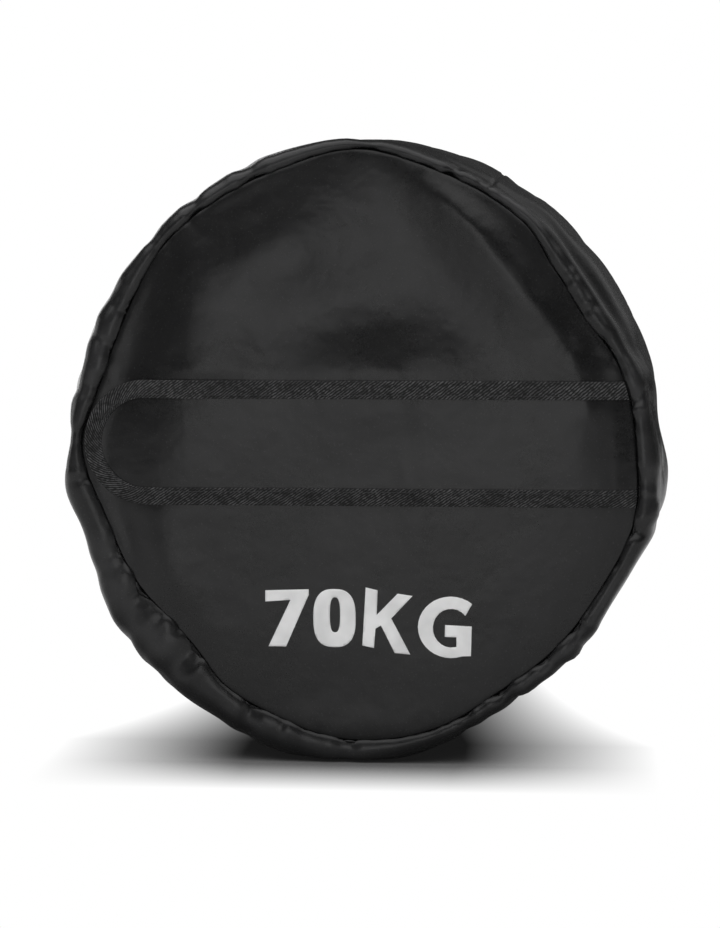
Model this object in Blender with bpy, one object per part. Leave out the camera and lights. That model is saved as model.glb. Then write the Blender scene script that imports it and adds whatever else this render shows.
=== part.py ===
"""Sandbag trainer: a fabric drum full of sand, lying on its side, with a filling slit under a flap.

Metres, +Z up. The bag lies along Y with its filling end towards -Y. The origin is on the
floor, under the middle of the bag.
"""

import math

import bmesh
import bpy
from mathutils import Vector

# Body of the bag
BAG_LENGTH = 0.430
SEAM_RADIUS = 0.175
RIM_RISE = 0.012
BARREL_BULGE = 0.002
FLOOR_CUT = 0.008
FABRIC = 0.0012
GAP = 0.0003
SOFT_GAP = 0.0005
SEGMENTS = 48

# Rolled rim and end seam, from the end plane inwards
RIM_DEPTH = 0.050
SEAM_DIP = 0.004
ALLOWANCE = 0.008
DIP_WIDTH = 0.010
CREASE_DEPTH = 0.005

# Radius of the end seam and of the body every 15 degrees, counted from +X towards +Z
SEAM_SHARES = (
    0.965, 0.955, 0.935, 0.930, 0.985, 1.010, 1.035, 1.020, 1.010, 0.995, 0.955, 0.950,
    0.990, 0.940, 0.930, 0.915, 0.975, 1.015, 1.035, 1.025, 0.985, 0.980, 0.975, 0.990,
)
BODY_SHARES = (
    0.980, 0.980, 0.980, 0.990, 1.000, 1.010, 1.025, 1.020, 1.000, 0.995, 0.985, 0.990,
    0.990, 0.995, 1.000, 1.020, 1.035, 1.075, 1.085, 1.025, 0.990, 0.990, 0.980, 0.995,
)
# Crease between the rim and the body, as a share of its depth, at the same angles
CREASE_SHARES = (
    0.3, 0.7, 1.0, 1.0, 1.0, 0.8, 0.3, 0.0, 0.0, 0.1, 0.2, 0.3,
    0.4, 0.3, 0.1, 0.0, 0.0, 0.0, 0.0, 0.0, 0.0, 0.1, 0.2, 0.2,
)
# Rim section: share of the rim's depth, share of the way from the seam to the body, share of the crease
RIM_SHARES = (
    (0.00, 0.12, 0.0), (-0.03, 0.30, 0.0), (0.03, 0.55, 0.0), (0.14, 0.80, 0.0),
    (0.32, 0.92, 0.3), (0.48, 0.96, 1.0), (0.66, 1.00, 0.2), (1.00, 1.00, 0.0),
)
BARREL_SHARE = 0.55
# End panel near its seam: share of the dip's width from the seam, share of the dip
DIP_SHARES = ((1.00, 0.00), (0.60, 0.14), (0.25, 0.50))
# Soft bulges of an end panel, which leave a flat band where the flap lies
FACE_BULGE = 0.004
FLAT_BAND = 0.042
BAND_EDGE = 0.025
FACE_SHARES = (0.24, 0.40, 0.55, 0.70, 0.84)
# Each bulge: middle along X and Z, half length and half width, by the seam's radius, then its rise
BULGE_SHARES = (
    (-0.35, 0.60, 0.40, 0.22, 0.6), (0.05, 0.78, 0.30, 0.20, 0.8), (0.38, 0.74, 0.36, 0.09, 1.0),
    (-0.50, -0.48, 0.35, 0.25, 0.6), (0.10, -0.62, 0.50, 0.26, 0.9), (0.62, -0.40, 0.25, 0.30, 0.6),
)
# Turn of each bulge's long side from +X
BULGE_TURNS = (math.radians(30), 0.0, math.radians(-55), math.radians(-35), 0.0, math.radians(50))

# Tapes that bind the end seams and cover the side seam, inside the bag
TAPE = 0.0008
BINDING_REACH = 0.006
SIDE_TAPE_WIDTH = 0.022
SIDE_SEAM_ANGLE = math.radians(63.75)

# Filler sleeve and its slit
SLEEVE_WIDTH = 0.250
SLEEVE_HEIGHT = 0.0055
SLEEVE_WALL = 0.0008
SLEEVE_DEPTH = 0.100
SLIT_TO_HINGE = 0.045
MOUTH_PROUD = 0.0008
CLOSURE_DEPTH = 0.020
FACING_WIDTH = 0.009
FACING = 0.0008

# Cover flap
FLAP_WIDTH = 0.077
FLAP_RISE = 0.004
TIP_CLEARANCE = 0.002
ANCHOR_LENGTH = 0.0186
BINDING_WIDTH = 0.011
BINDING = 0.0006
LINING = 0.0006
FLAP_FABRIC = 0.0008
STRIP = 0.0010
STRIP_WIDTH = 0.020
STRIP_SPREAD = 0.0165
STRIP_TO_TIP = 0.042
STRIP_TO_HINGE = 0.010
TIP_STEPS = 16
ANCHOR_INSET = 0.001
# The flap's sewn-down end: share of its length, share of the drop into the seam
ANCHOR_SHARES = ((0.00, 0.0), (0.45, 0.0), (0.75, 0.3), (1.00, 1.0))

OVERRUN = 0.010
ROUNDS = 4

FRONT = -BAG_LENGTH / 2
BODY_RADIUS = SEAM_RADIUS + RIM_RISE
AXIS_HEIGHT = BODY_RADIUS * max(BODY_SHARES) - FLOOR_CUT
TABLE_STEP = math.tau / len(SEAM_SHARES)
BINDING_END = SEAM_DIP + ALLOWANCE + GAP + TAPE
FLAP_HALF = FLAP_WIDTH / 2
FLAP_HEIGHT = AXIS_HEIGHT + FLAP_RISE

# Layers in front of the end panel, each as its height above it from inner to outer side
LOOP_LAYER = (GAP, GAP + STRIP)
HOOK_LAYER = (LOOP_LAYER[1] + GAP, LOOP_LAYER[1] + GAP + STRIP)
LINING_LAYER = (HOOK_LAYER[1] + GAP, HOOK_LAYER[1] + GAP + LINING)
OUTER_LAYER = (LINING_LAYER[1] + GAP, LINING_LAYER[1] + GAP + FLAP_FABRIC)
BINDING_LAYER = (LINING_LAYER[0] - GAP - BINDING, OUTER_LAYER[1] + GAP + BINDING)

FINISHES = {
    "nylon": ((0.022, 0.022, 0.024), 0.52),
    "lining": ((0.030, 0.030, 0.033), 0.70),
    "tape": ((0.028, 0.028, 0.030), 0.75),
    "hook": ((0.016, 0.016, 0.017), 0.80),
    "sand": ((0.520, 0.420, 0.290), 0.95),
}


def clear_scene():
    """Remove every object of the scene."""
    for item in list(bpy.data.objects):
        bpy.data.objects.remove(item, do_unlink=True)


def add_object(name, bm, finish):
    """Turn a bmesh into a named object with its own material."""
    bmesh.ops.recalc_face_normals(bm, faces=bm.faces)
    if bm.calc_volume(signed=True) < 0:
        bmesh.ops.reverse_faces(bm, faces=bm.faces)
    mesh = bpy.data.meshes.new(name)
    bm.to_mesh(mesh)
    bm.free()
    mesh.shade_smooth()
    mesh.set_sharp_from_angle(angle=math.radians(35))
    colour, roughness = FINISHES[finish]
    material = bpy.data.materials.new(name)
    material.use_nodes = True
    shader = material.node_tree.nodes["Principled BSDF"]
    shader.inputs["Base Color"].default_value = (*colour, 1.0)
    shader.inputs["Roughness"].default_value = roughness
    shader.inputs["Metallic"].default_value = 0.0
    mesh.materials.append(material)
    item = bpy.data.objects.new(name, mesh)
    bpy.context.scene.collection.objects.link(item)
    return item


def add_cutter(name, low, high):
    """Add a box that other solids are cut with."""
    bm = bmesh.new()
    fill_box(bm, low, high)
    item = add_object(name, bm, "hook")
    item.hide_render = True
    item.display_type = "WIRE"
    return item


def cut(item, cutter):
    """Cut one solid with another."""
    modifier = item.modifiers.new("cut_" + cutter.name, "BOOLEAN")
    modifier.operation = "DIFFERENCE"
    modifier.solver = "EXACT"
    modifier.object = cutter


def fill_box(bm, low, high):
    """Add a box between two corners."""
    made = bmesh.ops.create_cube(bm, size=1.0)
    low = Vector(low)
    high = Vector(high)
    bmesh.ops.scale(bm, vec=high - low, verts=made["verts"])
    bmesh.ops.translate(bm, vec=(low + high) / 2, verts=made["verts"])


def table_value(shares, angle):
    """Smooth value at an angle of a table that goes evenly round the circle."""
    place = (angle % math.tau) / TABLE_STEP
    index = int(place)
    t = place - index
    count = len(shares)
    before, here, there, after = (shares[(index + k) % count] for k in (-1, 0, 1, 2))
    slope_here = (there - before) / 2
    slope_there = (after - here) / 2
    rise = here * (1 + 2 * t) * (1 - t) ** 2 + there * t * t * (3 - 2 * t)
    return rise + slope_here * t * (1 - t) ** 2 - slope_there * t * t * (1 - t)


def seam_radius(angle):
    """Distance of the end seam from the bag's axis."""
    return SEAM_RADIUS * table_value(SEAM_SHARES, angle)


def body_radius(angle):
    """Distance of the bag's side from its axis, behind the rim."""
    return BODY_RADIUS * table_value(BODY_SHARES, angle)


def seam_reach(height, side):
    """Distance of the end seam from the middle plane, at a height, on the +X side or the -X side."""
    rise = height - AXIS_HEIGHT
    reach = SEAM_RADIUS
    for _ in range(ROUNDS):
        radius = seam_radius(math.atan2(rise, side * reach))
        reach = math.sqrt(radius * radius - rise * rise)
    return reach


def hinge_place():
    """Where along X the flap's free part ends and its sewn-down end begins."""
    return seam_reach(FLAP_HEIGHT, 1) - ANCHOR_LENGTH


def tip_centre():
    """Centre of the flap's round end, along X."""
    return TIP_CLEARANCE - seam_reach(FLAP_HEIGHT, -1) + FLAP_HALF


def sleeve_middle():
    """Middle of the slit and of the sleeve, along X."""
    return hinge_place() - SLIT_TO_HINGE - SLEEVE_WIDTH / 2


def side_section(angle):
    """Outer side of the side panel at one angle, as depth and radius, from seam to seam."""
    seam = seam_radius(angle)
    body = body_radius(angle)
    crease = CREASE_DEPTH * max(0.0, table_value(CREASE_SHARES, angle))
    front = [(SEAM_DIP + ALLOWANCE, seam), (SEAM_DIP, seam)]
    for depth_share, way_share, crease_share in RIM_SHARES:
        radius = seam + (body - seam) * way_share - crease * crease_share
        front.append((RIM_DEPTH * depth_share, radius))
    front.append((BAG_LENGTH / 2 * BARREL_SHARE, body + BARREL_BULGE))
    rear = [(BAG_LENGTH - depth, radius) for depth, radius in reversed(front)]
    return front + rear


def offset_section(section, distance):
    """Move a section towards the inside of the bag."""
    moved = []
    last = len(section) - 1
    for index, (depth, radius) in enumerate(section):
        normals = []
        for a, b in ((index - 1, index), (index, index + 1)):
            if a < 0 or b > last:
                continue
            along = Vector(section[b]) - Vector(section[a])
            along.normalize()
            normals.append(Vector((along.y, -along.x)))
        middle = sum(normals, Vector((0.0, 0.0)))
        middle.normalize()
        reach = distance / middle.dot(normals[0])
        moved.append((depth + middle.x * reach, radius + middle.y * reach))
    return moved


def place(depth, radius, angle, floor):
    """Point of the bag from its depth, radius and angle, held above the floor."""
    height = AXIS_HEIGHT + radius * math.sin(angle)
    return Vector((radius * math.cos(angle), FRONT + depth, max(height, floor)))


def ring_angles():
    """Angles of the points of each ring."""
    return [math.tau * k / SEGMENTS for k in range(SEGMENTS)]


def add_ring(bm, points):
    """Add the points of one closed loop."""
    return [bm.verts.new(point) for point in points]


def bridge(bm, loops, closed):
    """Skin a row of loops, and join the last to the first where the section is closed.

    Each four-sided patch is split from its front to its rear point, so that nested walls match.
    """
    pairs = list(zip(loops, loops[1:]))
    if closed:
        pairs.append((loops[-1], loops[0]))
    for first, second in pairs:
        for index in range(len(first)):
            a, b = first[index - 1], first[index]
            c, d = second[index], second[index - 1]
            if a.co.y <= d.co.y:
                bm.faces.new((a, b, c))
                bm.faces.new((a, c, d))
            else:
                bm.faces.new((a, b, d))
                bm.faces.new((b, c, d))


def cap(bm, loop):
    """Close a loop with one flat face."""
    bm.faces.new(loop)


def rings_from_sections(bm, sections, floor):
    """Edge loops through the matching points of one section for each angle."""
    loops = []
    for index in range(len(sections[0])):
        points = []
        for angle, section in zip(ring_angles(), sections):
            depth, radius = section[index]
            points.append(place(depth, radius, angle, floor))
        loops.append(add_ring(bm, points))
    return loops


def build_side_panel():
    """Long fabric tube whose two ends roll over the seams and turn into the bag."""
    bm = bmesh.new()
    outer = [side_section(angle) for angle in ring_angles()]
    inner = [offset_section(section, FABRIC) for section in outer]
    loops = rings_from_sections(bm, outer, 0.0)
    loops += reversed(rings_from_sections(bm, inner, FABRIC))
    bridge(bm, loops, closed=True)
    return add_object("side_panel", bm, "nylon")


def smooth_step(value):
    """Smooth rise from 0 to 1."""
    t = min(max(value, 0.0), 1.0)
    return t * t * (3 - 2 * t)


def face_rise(angle, radius):
    """How far an end panel bulges out of its plane at a point."""
    across = radius * math.cos(angle)
    up = radius * math.sin(angle)
    rise = 0.0
    for (x, z, half_length, half_width, share), turn in zip(BULGE_SHARES, BULGE_TURNS):
        aside = across - x * SEAM_RADIUS
        above = up - z * SEAM_RADIUS
        along = (aside * math.cos(turn) + above * math.sin(turn)) / (half_length * SEAM_RADIUS)
        off = (above * math.cos(turn) - aside * math.sin(turn)) / (half_width * SEAM_RADIUS)
        rise += share * math.exp(-along * along - off * off)
    band = smooth_step((abs(up - FLAP_RISE) - FLAT_BAND) / BAND_EDGE)
    edge = smooth_step((seam_radius(angle) - DIP_WIDTH - radius) / BAND_EDGE)
    return FACE_BULGE * rise * band * edge


def panel_section(angle):
    """Outer side of an end panel at one angle, from its flat middle to the end of its allowance."""
    seam = seam_radius(angle)
    section = []
    for share in FACE_SHARES:
        radius = seam * share
        section.append((-face_rise(angle, radius), radius))
    for width_share, dip_share in DIP_SHARES:
        section.append((SEAM_DIP * dip_share, seam - DIP_WIDTH * width_share))
    section.append((SEAM_DIP, seam - GAP))
    section.append((SEAM_DIP + ALLOWANCE, seam - GAP))
    return section


def mirrored(section):
    """The same section at the rear end of the bag."""
    return [(BAG_LENGTH - depth, radius) for depth, radius in section]


def build_end_panel(name, at_rear):
    """Round end of the bag, dipping into its seam and turned inwards along it."""
    bm = bmesh.new()
    outer = []
    inner = []
    for angle in ring_angles():
        section = panel_section(angle)
        outer.append(section)
        inner.append(offset_section(section, FABRIC))
    if at_rear:
        outer = [mirrored(section) for section in outer]
        inner = [mirrored(section) for section in inner]
    outer_loops = rings_from_sections(bm, outer, 0.0)
    inner_loops = rings_from_sections(bm, inner, 0.0)
    bridge(bm, outer_loops + inner_loops[::-1], closed=False)
    cap(bm, outer_loops[0])
    cap(bm, inner_loops[0])
    return add_object(name, bm, "nylon")


def build_seam_binding(name, at_rear):
    """Tape folded over the raw edges of an end seam, inside the bag."""
    bm = bmesh.new()
    leg_start = BINDING_END - BINDING_REACH
    base = BINDING_END - TAPE
    inside = -(GAP + FABRIC + GAP)
    outside = FABRIC + GAP
    sections = []
    for angle in ring_angles():
        seam = seam_radius(angle)
        section = [
            (leg_start, seam + inside - TAPE),
            (BINDING_END, seam + inside - TAPE),
            (BINDING_END, seam + outside + TAPE),
            (leg_start, seam + outside + TAPE),
            (leg_start, seam + outside),
            (base, seam + outside),
            (base, seam + inside),
            (leg_start, seam + inside),
        ]
        sections.append(mirrored(section) if at_rear else section)
    bridge(bm, rings_from_sections(bm, sections, 0.0), closed=True)
    return add_object(name, bm, "tape")


def on_facet(distance, index, side):
    """Point of the side seam's flat strip of wall, offset inwards, at one place along the bag."""
    half = math.pi / SEGMENTS
    ends = []
    for angle in (SIDE_SEAM_ANGLE - half, SIDE_SEAM_ANGLE + half):
        depth, radius = offset_section(side_section(angle), distance)[index]
        ends.append(place(depth, radius, angle, 0.0))
    middle = (ends[0] + ends[1]) / 2
    along = (ends[1] - ends[0]).normalized()
    return middle + along * (SIDE_TAPE_WIDTH / 2 * side)


def build_side_seam_tape():
    """Tape that covers the lengthwise seam, on the inner side of the side panel."""
    bm = bmesh.new()
    count = len(side_section(0.0))
    first = count // 2 - 2
    near = FABRIC + GAP
    far = near + TAPE
    loops = []
    for index in range(first, count - first):
        corners = (
            on_facet(near, index, -1),
            on_facet(near, index, 1),
            on_facet(far, index, 1),
            on_facet(far, index, -1),
        )
        loops.append(add_ring(bm, corners))
    bridge(bm, loops, closed=False)
    cap(bm, loops[0])
    cap(bm, loops[-1])
    return add_object("side_seam_tape", bm, "tape")


def sleeve_corners(margin, low_depth, high_depth):
    """Corners of the sleeve's outline grown by a margin, between two depths."""
    half_width = SLEEVE_WIDTH / 2 + margin
    half_height = SLEEVE_HEIGHT / 2 + margin
    low = (sleeve_middle() - half_width, FRONT + low_depth, FLAP_HEIGHT - half_height)
    high = (sleeve_middle() + half_width, FRONT + high_depth, FLAP_HEIGHT + half_height)
    return low, high


def build_sand():
    """Sand that fills the bag, with the pocket in which the sleeve is stowed."""
    bm = bmesh.new()
    seam_clearance = GAP + FABRIC + GAP + TAPE + SOFT_GAP
    face_depth = FABRIC + GAP + FACING + SOFT_GAP
    tape_room = GAP + TAPE
    first = len(RIM_SHARES) - 2
    sections = []
    for angle in ring_angles():
        seam = seam_radius(angle)
        near_tape = abs(angle - SIDE_SEAM_ANGLE) < math.tau / SEGMENTS
        distance = FABRIC + SOFT_GAP + (tape_room if near_tape else 0.0)
        wall = offset_section(side_section(angle), distance)
        front = [
            (face_depth, seam - DIP_WIDTH),
            (face_depth + SEAM_DIP, seam - DIP_WIDTH * DIP_SHARES[1][0]),
            (BINDING_END + SOFT_GAP, seam - seam_clearance),
        ]
        middle = wall[first:len(wall) - first]
        sections.append(front + middle + mirrored(front)[::-1])
    loops = rings_from_sections(bm, sections, FABRIC + SOFT_GAP)
    bridge(bm, loops, closed=False)
    cap(bm, loops[0])
    cap(bm, loops[-1])
    sand = add_object("sand_fill", bm, "sand")
    low, high = sleeve_corners(SOFT_GAP, 0.0, SLEEVE_DEPTH + SOFT_GAP)
    cut(sand, add_cutter("sleeve_pocket", low, high))
    return sand


def build_slit_facing():
    """Fabric frame behind the end panel, round the slit."""
    bm = bmesh.new()
    behind = FABRIC + GAP
    low, high = sleeve_corners(GAP + FACING_WIDTH, behind, behind + FACING)
    fill_box(bm, low, high)
    return add_object("slit_facing", bm, "lining")


def build_sleeve():
    """Flat fabric tube that the sand is poured through, open at both ends."""
    bm = bmesh.new()
    loops = []
    for margin in (0.0, -SLEEVE_WALL):
        for depth in (-MOUTH_PROUD, SLEEVE_DEPTH):
            low, high = sleeve_corners(margin, depth, depth)
            corners = (
                (low[0], low[1], low[2]),
                (high[0], low[1], low[2]),
                (high[0], low[1], high[2]),
                (low[0], low[1], high[2]),
            )
            loops.append(add_ring(bm, corners))
    outer_mouth, outer_end, inner_mouth, inner_end = loops
    bridge(bm, [outer_mouth, outer_end, inner_end, inner_mouth], closed=True)
    return add_object("filler_sleeve", bm, "lining")


def build_sleeve_closure(name, side):
    """Strip on one inner wall of the sleeve's mouth, which holds to the strip on the other wall."""
    bm = bmesh.new()
    half_width = SLEEVE_WIDTH / 2 - SLEEVE_WALL - GAP
    reach = SLEEVE_HEIGHT / 2 - SLEEVE_WALL - GAP
    heights = sorted((side * GAP / 2, side * reach))
    low = (sleeve_middle() - half_width, FRONT - MOUTH_PROUD + GAP, FLAP_HEIGHT + heights[0])
    high = (sleeve_middle() + half_width, low[1] + CLOSURE_DEPTH, FLAP_HEIGHT + heights[1])
    fill_box(bm, low, high)
    return add_object(name, bm, "hook")


def build_strip(name, layer, side):
    """Hook or loop strip above or below the slit."""
    bm = bmesh.new()
    middle = FLAP_HEIGHT + side * STRIP_SPREAD
    start = tip_centre() - FLAP_HALF + STRIP_TO_TIP
    low = (start, FRONT - layer[1], middle - STRIP_WIDTH / 2)
    high = (hinge_place() - STRIP_TO_HINGE, FRONT - layer[0], middle + STRIP_WIDTH / 2)
    fill_box(bm, low, high)
    return add_object(name, bm, "hook")


def build_flap_layer(name, layer, finish):
    """One fabric layer of the flap, round at its free end and straight at the hinge line."""
    bm = bmesh.new()
    radius = FLAP_HALF - BINDING - GAP
    bmesh.ops.create_circle(bm, cap_ends=True, radius=radius, segments=TIP_STEPS * 2)
    bmesh.ops.rotate(bm, verts=bm.verts, cent=(0, 0, 0), matrix=turn_upright())
    bmesh.ops.translate(bm, verts=bm.verts, vec=(tip_centre(), FRONT - layer[1], FLAP_HEIGHT))
    geometry = bm.verts[:] + bm.edges[:] + bm.faces[:]
    middle = (tip_centre(), FRONT, FLAP_HEIGHT)
    made = bmesh.ops.bisect_plane(bm, geom=geometry, plane_co=middle, plane_no=(1, 0, 0), clear_outer=True)
    chord = [part for part in made["geom_cut"] if isinstance(part, bmesh.types.BMEdge)]
    made = bmesh.ops.extrude_edge_only(bm, edges=chord)
    moved = [part for part in made["geom"] if isinstance(part, bmesh.types.BMVert)]
    bmesh.ops.translate(bm, verts=moved, vec=(hinge_place() - GAP / 2 - tip_centre(), 0, 0))
    made = bmesh.ops.extrude_face_region(bm, geom=bm.faces[:])
    moved = [part for part in made["geom"] if isinstance(part, bmesh.types.BMVert)]
    bmesh.ops.translate(bm, verts=moved, vec=(0, layer[1] - layer[0], 0))
    return add_object(name, bm, finish)


def turn_upright():
    """Rotation that stands a flat outline up in the plane of the bag's end."""
    return Vector((0, 0, 1)).rotation_difference(Vector((0, -1, 0))).to_matrix()


def binding_profile():
    """Section of the flap's binding, as distance from the flap's middle line and height above the panel."""
    inner, outer = BINDING_LAYER
    edge = FLAP_HALF
    start = FLAP_HALF - BINDING_WIDTH
    return (
        (start, inner),
        (edge, inner),
        (edge, outer),
        (start, outer),
        (start, outer - BINDING),
        (edge - BINDING, outer - BINDING),
        (edge - BINDING, inner + BINDING),
        (start, inner + BINDING),
    )


def build_flap_binding():
    """Tape folded over the flap's edge, from the hinge line round the free end and back."""
    bm = bmesh.new()
    hinge = hinge_place() - GAP / 2
    profile = binding_profile()
    loops = [[(hinge, out) for out, _ in profile]]
    for step in range(TIP_STEPS + 1):
        turn = math.pi * step / TIP_STEPS
        loops.append([(tip_centre() - out * math.sin(turn), out * math.cos(turn)) for out, _ in profile])
    loops.append([(hinge, -out) for out, _ in profile])
    rings = []
    for loop in loops:
        points = []
        for (x, rise), (_, height) in zip(loop, profile):
            points.append((x, FRONT - height, FLAP_HEIGHT + rise))
        rings.append(add_ring(bm, points))
    bridge(bm, rings, closed=False)
    cap(bm, rings[0])
    cap(bm, rings[-1])
    return add_object("flap_binding", bm, "tape")


def build_anchor_piece(name, profile, finish):
    """Length of a flap piece that is sewn down, from the hinge line into the end seam."""
    bm = bmesh.new()
    start = hinge_place() + GAP / 2
    loops = []
    for length_share, drop_share in ANCHOR_SHARES:
        points = []
        for out, height in profile:
            end = seam_reach(FLAP_HEIGHT + out, 1) - ANCHOR_INSET
            drop = SEAM_DIP * drop_share
            x = start + (end - start) * length_share
            points.append((x, FRONT + drop - height, FLAP_HEIGHT + out))
        loops.append(add_ring(bm, points))
    bridge(bm, loops, closed=False)
    cap(bm, loops[0])
    cap(bm, loops[-1])
    return add_object(name, bm, finish)


def build_anchor():
    """Sewn-down end of the flap: its fabric and the two stretches of binding along its edges."""
    half = FLAP_HALF - BINDING - GAP
    start = FLAP_HALF - BINDING_WIDTH
    across = (-half, -start, 0.0, start, half)
    fabric = [(out, LINING_LAYER[0]) for out in across]
    fabric += [(out, OUTER_LAYER[1]) for out in reversed(across)]
    build_anchor_piece("flap_anchor", fabric, "nylon")
    build_anchor_piece("flap_anchor_tape_upper", binding_profile(), "tape")
    lower = [(-out, height) for out, height in binding_profile()]
    build_anchor_piece("flap_anchor_tape_lower", lower, "tape")


def build_bag():
    """Fabric shell, its seams and what it holds."""
    build_side_panel()
    build_side_seam_tape()
    front = build_end_panel("front_end_panel", at_rear=False)
    build_end_panel("rear_end_panel", at_rear=True)
    build_seam_binding("front_seam_binding", at_rear=False)
    build_seam_binding("rear_seam_binding", at_rear=True)
    facing = build_slit_facing()
    low, high = sleeve_corners(GAP, -OVERRUN, OVERRUN)
    slit = add_cutter("slit", low, high)
    cut(front, slit)
    cut(facing, slit)
    build_sand()


def build_closure():
    """Flap, strips and filler sleeve."""
    for side, label in ((1, "upper"), (-1, "lower")):
        build_strip("loop_strip_" + label, LOOP_LAYER, side)
        build_strip("flap_hook_strip_" + label, HOOK_LAYER, side)
    build_flap_layer("flap_lining", LINING_LAYER, "lining")
    build_flap_layer("flap_outer", OUTER_LAYER, "nylon")
    build_flap_binding()
    build_anchor()
    build_sleeve()
    build_sleeve_closure("sleeve_hook_strip", 1)
    build_sleeve_closure("sleeve_loop_strip", -1)


clear_scene()
build_bag()
build_closure()
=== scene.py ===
"""Sandbag trainer: a black fabric drum full of sand, on its side, with a flap over its filling slit.

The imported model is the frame. Each piece of fabric is built again here at the place of its solid,
with its folds, tapes and stitching. Metres, +Z up, the filling end towards -Y.
"""

import logging
import math
from dataclasses import dataclass
from enum import Enum
from typing import Callable, Iterable, Sequence

import bmesh
import bpy
import numpy as np
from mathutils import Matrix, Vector

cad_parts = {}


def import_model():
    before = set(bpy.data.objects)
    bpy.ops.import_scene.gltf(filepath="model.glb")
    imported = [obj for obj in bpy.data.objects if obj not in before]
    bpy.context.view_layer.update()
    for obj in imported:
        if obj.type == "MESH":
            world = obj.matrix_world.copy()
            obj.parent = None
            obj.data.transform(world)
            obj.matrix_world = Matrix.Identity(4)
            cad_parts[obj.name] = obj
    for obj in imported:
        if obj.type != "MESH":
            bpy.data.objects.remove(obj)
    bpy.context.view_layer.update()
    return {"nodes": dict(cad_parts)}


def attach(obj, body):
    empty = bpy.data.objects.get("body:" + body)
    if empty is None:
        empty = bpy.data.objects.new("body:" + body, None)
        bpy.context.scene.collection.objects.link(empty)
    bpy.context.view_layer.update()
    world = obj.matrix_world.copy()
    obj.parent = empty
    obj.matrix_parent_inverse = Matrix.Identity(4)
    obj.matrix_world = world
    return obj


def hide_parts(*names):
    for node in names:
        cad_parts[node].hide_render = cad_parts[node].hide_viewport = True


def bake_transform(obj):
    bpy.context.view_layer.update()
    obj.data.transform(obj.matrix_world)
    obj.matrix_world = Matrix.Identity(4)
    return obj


LOG = logging.getLogger("sandbag")
TURN = math.tau
Colour = tuple[float, float, float]


class End(Enum):
    """One of the bag's two round ends."""

    FRONT = "front"
    REAR = "rear"


class Pile(Enum):
    """Side of a hook and loop fastener."""

    HOOK = "hook"
    LOOP = "loop"


@dataclass(frozen=True)
class Crease:
    """Tuck that runs from an end seam over the rolled rim.

    Args:
        angle: Place round the seam, in degrees from +X towards +Z.
        depth: How deep it is, in metres; negative for a raised pucker.
        width: Half of its width along the rim, in metres.
        reach: How far it runs from the seam, in metres.
        skew: How far its far end lies further round, in metres.
    """

    angle: float
    depth: float = 0.0
    width: float = 0.0
    reach: float = 0.0
    skew: float = 0.0


@dataclass(frozen=True)
class Dent:
    """Soft slope of a round end, where the fabric leans out at its middle.

    Args:
        x: Middle of the dent from the bag's middle plane, in metres.
        z: Its height above the floor, in metres.
        half_length: Half of its length, in metres.
        half_width: Half of its width, in metres.
        turn: Turn of its length from +X, in degrees.
        slope: Lean of the fabric at its middle.
        facing: Where the fabric leans to, as an angle from +X in degrees.
    """

    x: float
    z: float
    half_length: float
    half_width: float
    turn: float
    slope: float
    facing: float


@dataclass(frozen=True)
class Ridge:
    """Fold along a line of a round end.

    Args:
        start: Its first end, as X and Z in metres.
        end: Its last end.
        left: Half width on its left side, looking from start to end.
        right: Half width on its right side.
        height: How far it stands out.
    """

    start: tuple[float, float]
    end: tuple[float, float]
    left: float
    right: float
    height: float


SEAM_SHARES = (
    0.965, 0.955, 0.935, 0.930, 0.985, 1.010, 1.035, 1.020, 1.010, 0.995, 0.955, 0.950,
    0.990, 0.940, 0.930, 0.915, 0.975, 1.015, 1.035, 1.025, 0.985, 0.980, 0.975, 0.990,
)
BODY_SHARES = (
    0.980, 0.980, 0.980, 0.990, 1.000, 1.010, 1.025, 1.020, 1.000, 0.995, 0.985, 0.990,
    0.990, 0.995, 1.000, 1.020, 1.035, 1.075, 1.085, 1.025, 0.990, 0.990, 0.980, 0.995,
)
CREASE_SHARES = (
    0.3, 0.7, 1.0, 1.0, 1.0, 0.8, 0.3, 0.0, 0.0, 0.1, 0.2, 0.3,
    0.4, 0.3, 0.1, 0.0, 0.0, 0.0, 0.0, 0.0, 0.0, 0.1, 0.2, 0.2,
)
# Rim from the seam's allowance on: depth in metres, then the share of the way from seam to body,
# where the rim is one round fold and where a crease parts it from the body
RIM_SPOTS = (
    (0.0120, 0.00, 0.00), (0.0066, 0.00, 0.00), (0.0023, 0.00, 0.00), (0.0016, 0.02, 0.02),
    (0.0007, 0.09, 0.08), (-0.0001, 0.28, 0.22), (0.0010, 0.55, 0.39), (0.0050, 0.78, 0.52),
    (0.0115, 0.90, 0.575), (0.0185, 0.96, 0.535), (0.0230, 0.98, 0.60), (0.0320, 1.00, 0.86),
    (0.0500, 1.00, 1.00),
)
# Barrel behind the rim: depth and how far it stands out of the body's outline
BARREL_SPOTS = ((0.080, 0.0010), (0.118, 0.0020), (0.165, 0.0022), (0.215, 0.0024))
# Rows of a round end next to its seam, by their distance from it
END_ROWS = (0.016, 0.0125, 0.0095, 0.0075, 0.006, 0.0048, 0.0037, 0.0027, 0.0018, 0.0010, 0.0004)
# Rows of the sand behind a round end: share of the way to the rim, then distance from the seam and depth
SAND_SHARES = (0.0, 0.1, 0.2, 0.3, 0.4, 0.5, 0.6, 0.7, 0.8, 0.88, 0.94, 1.0)
SAND_ROWS = ((0.0150, 0.0042), (0.0115, 0.0062), (0.0080, 0.0085), (0.0050, 0.0112))
# Number of steps between two spots, from the seam's allowance to the middle of the barrel
SPOT_STEPS = (1, 1, 2, 3, 3, 4, 4, 4, 4, 4, 4, 3, 3, 2, 3, 3)

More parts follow.
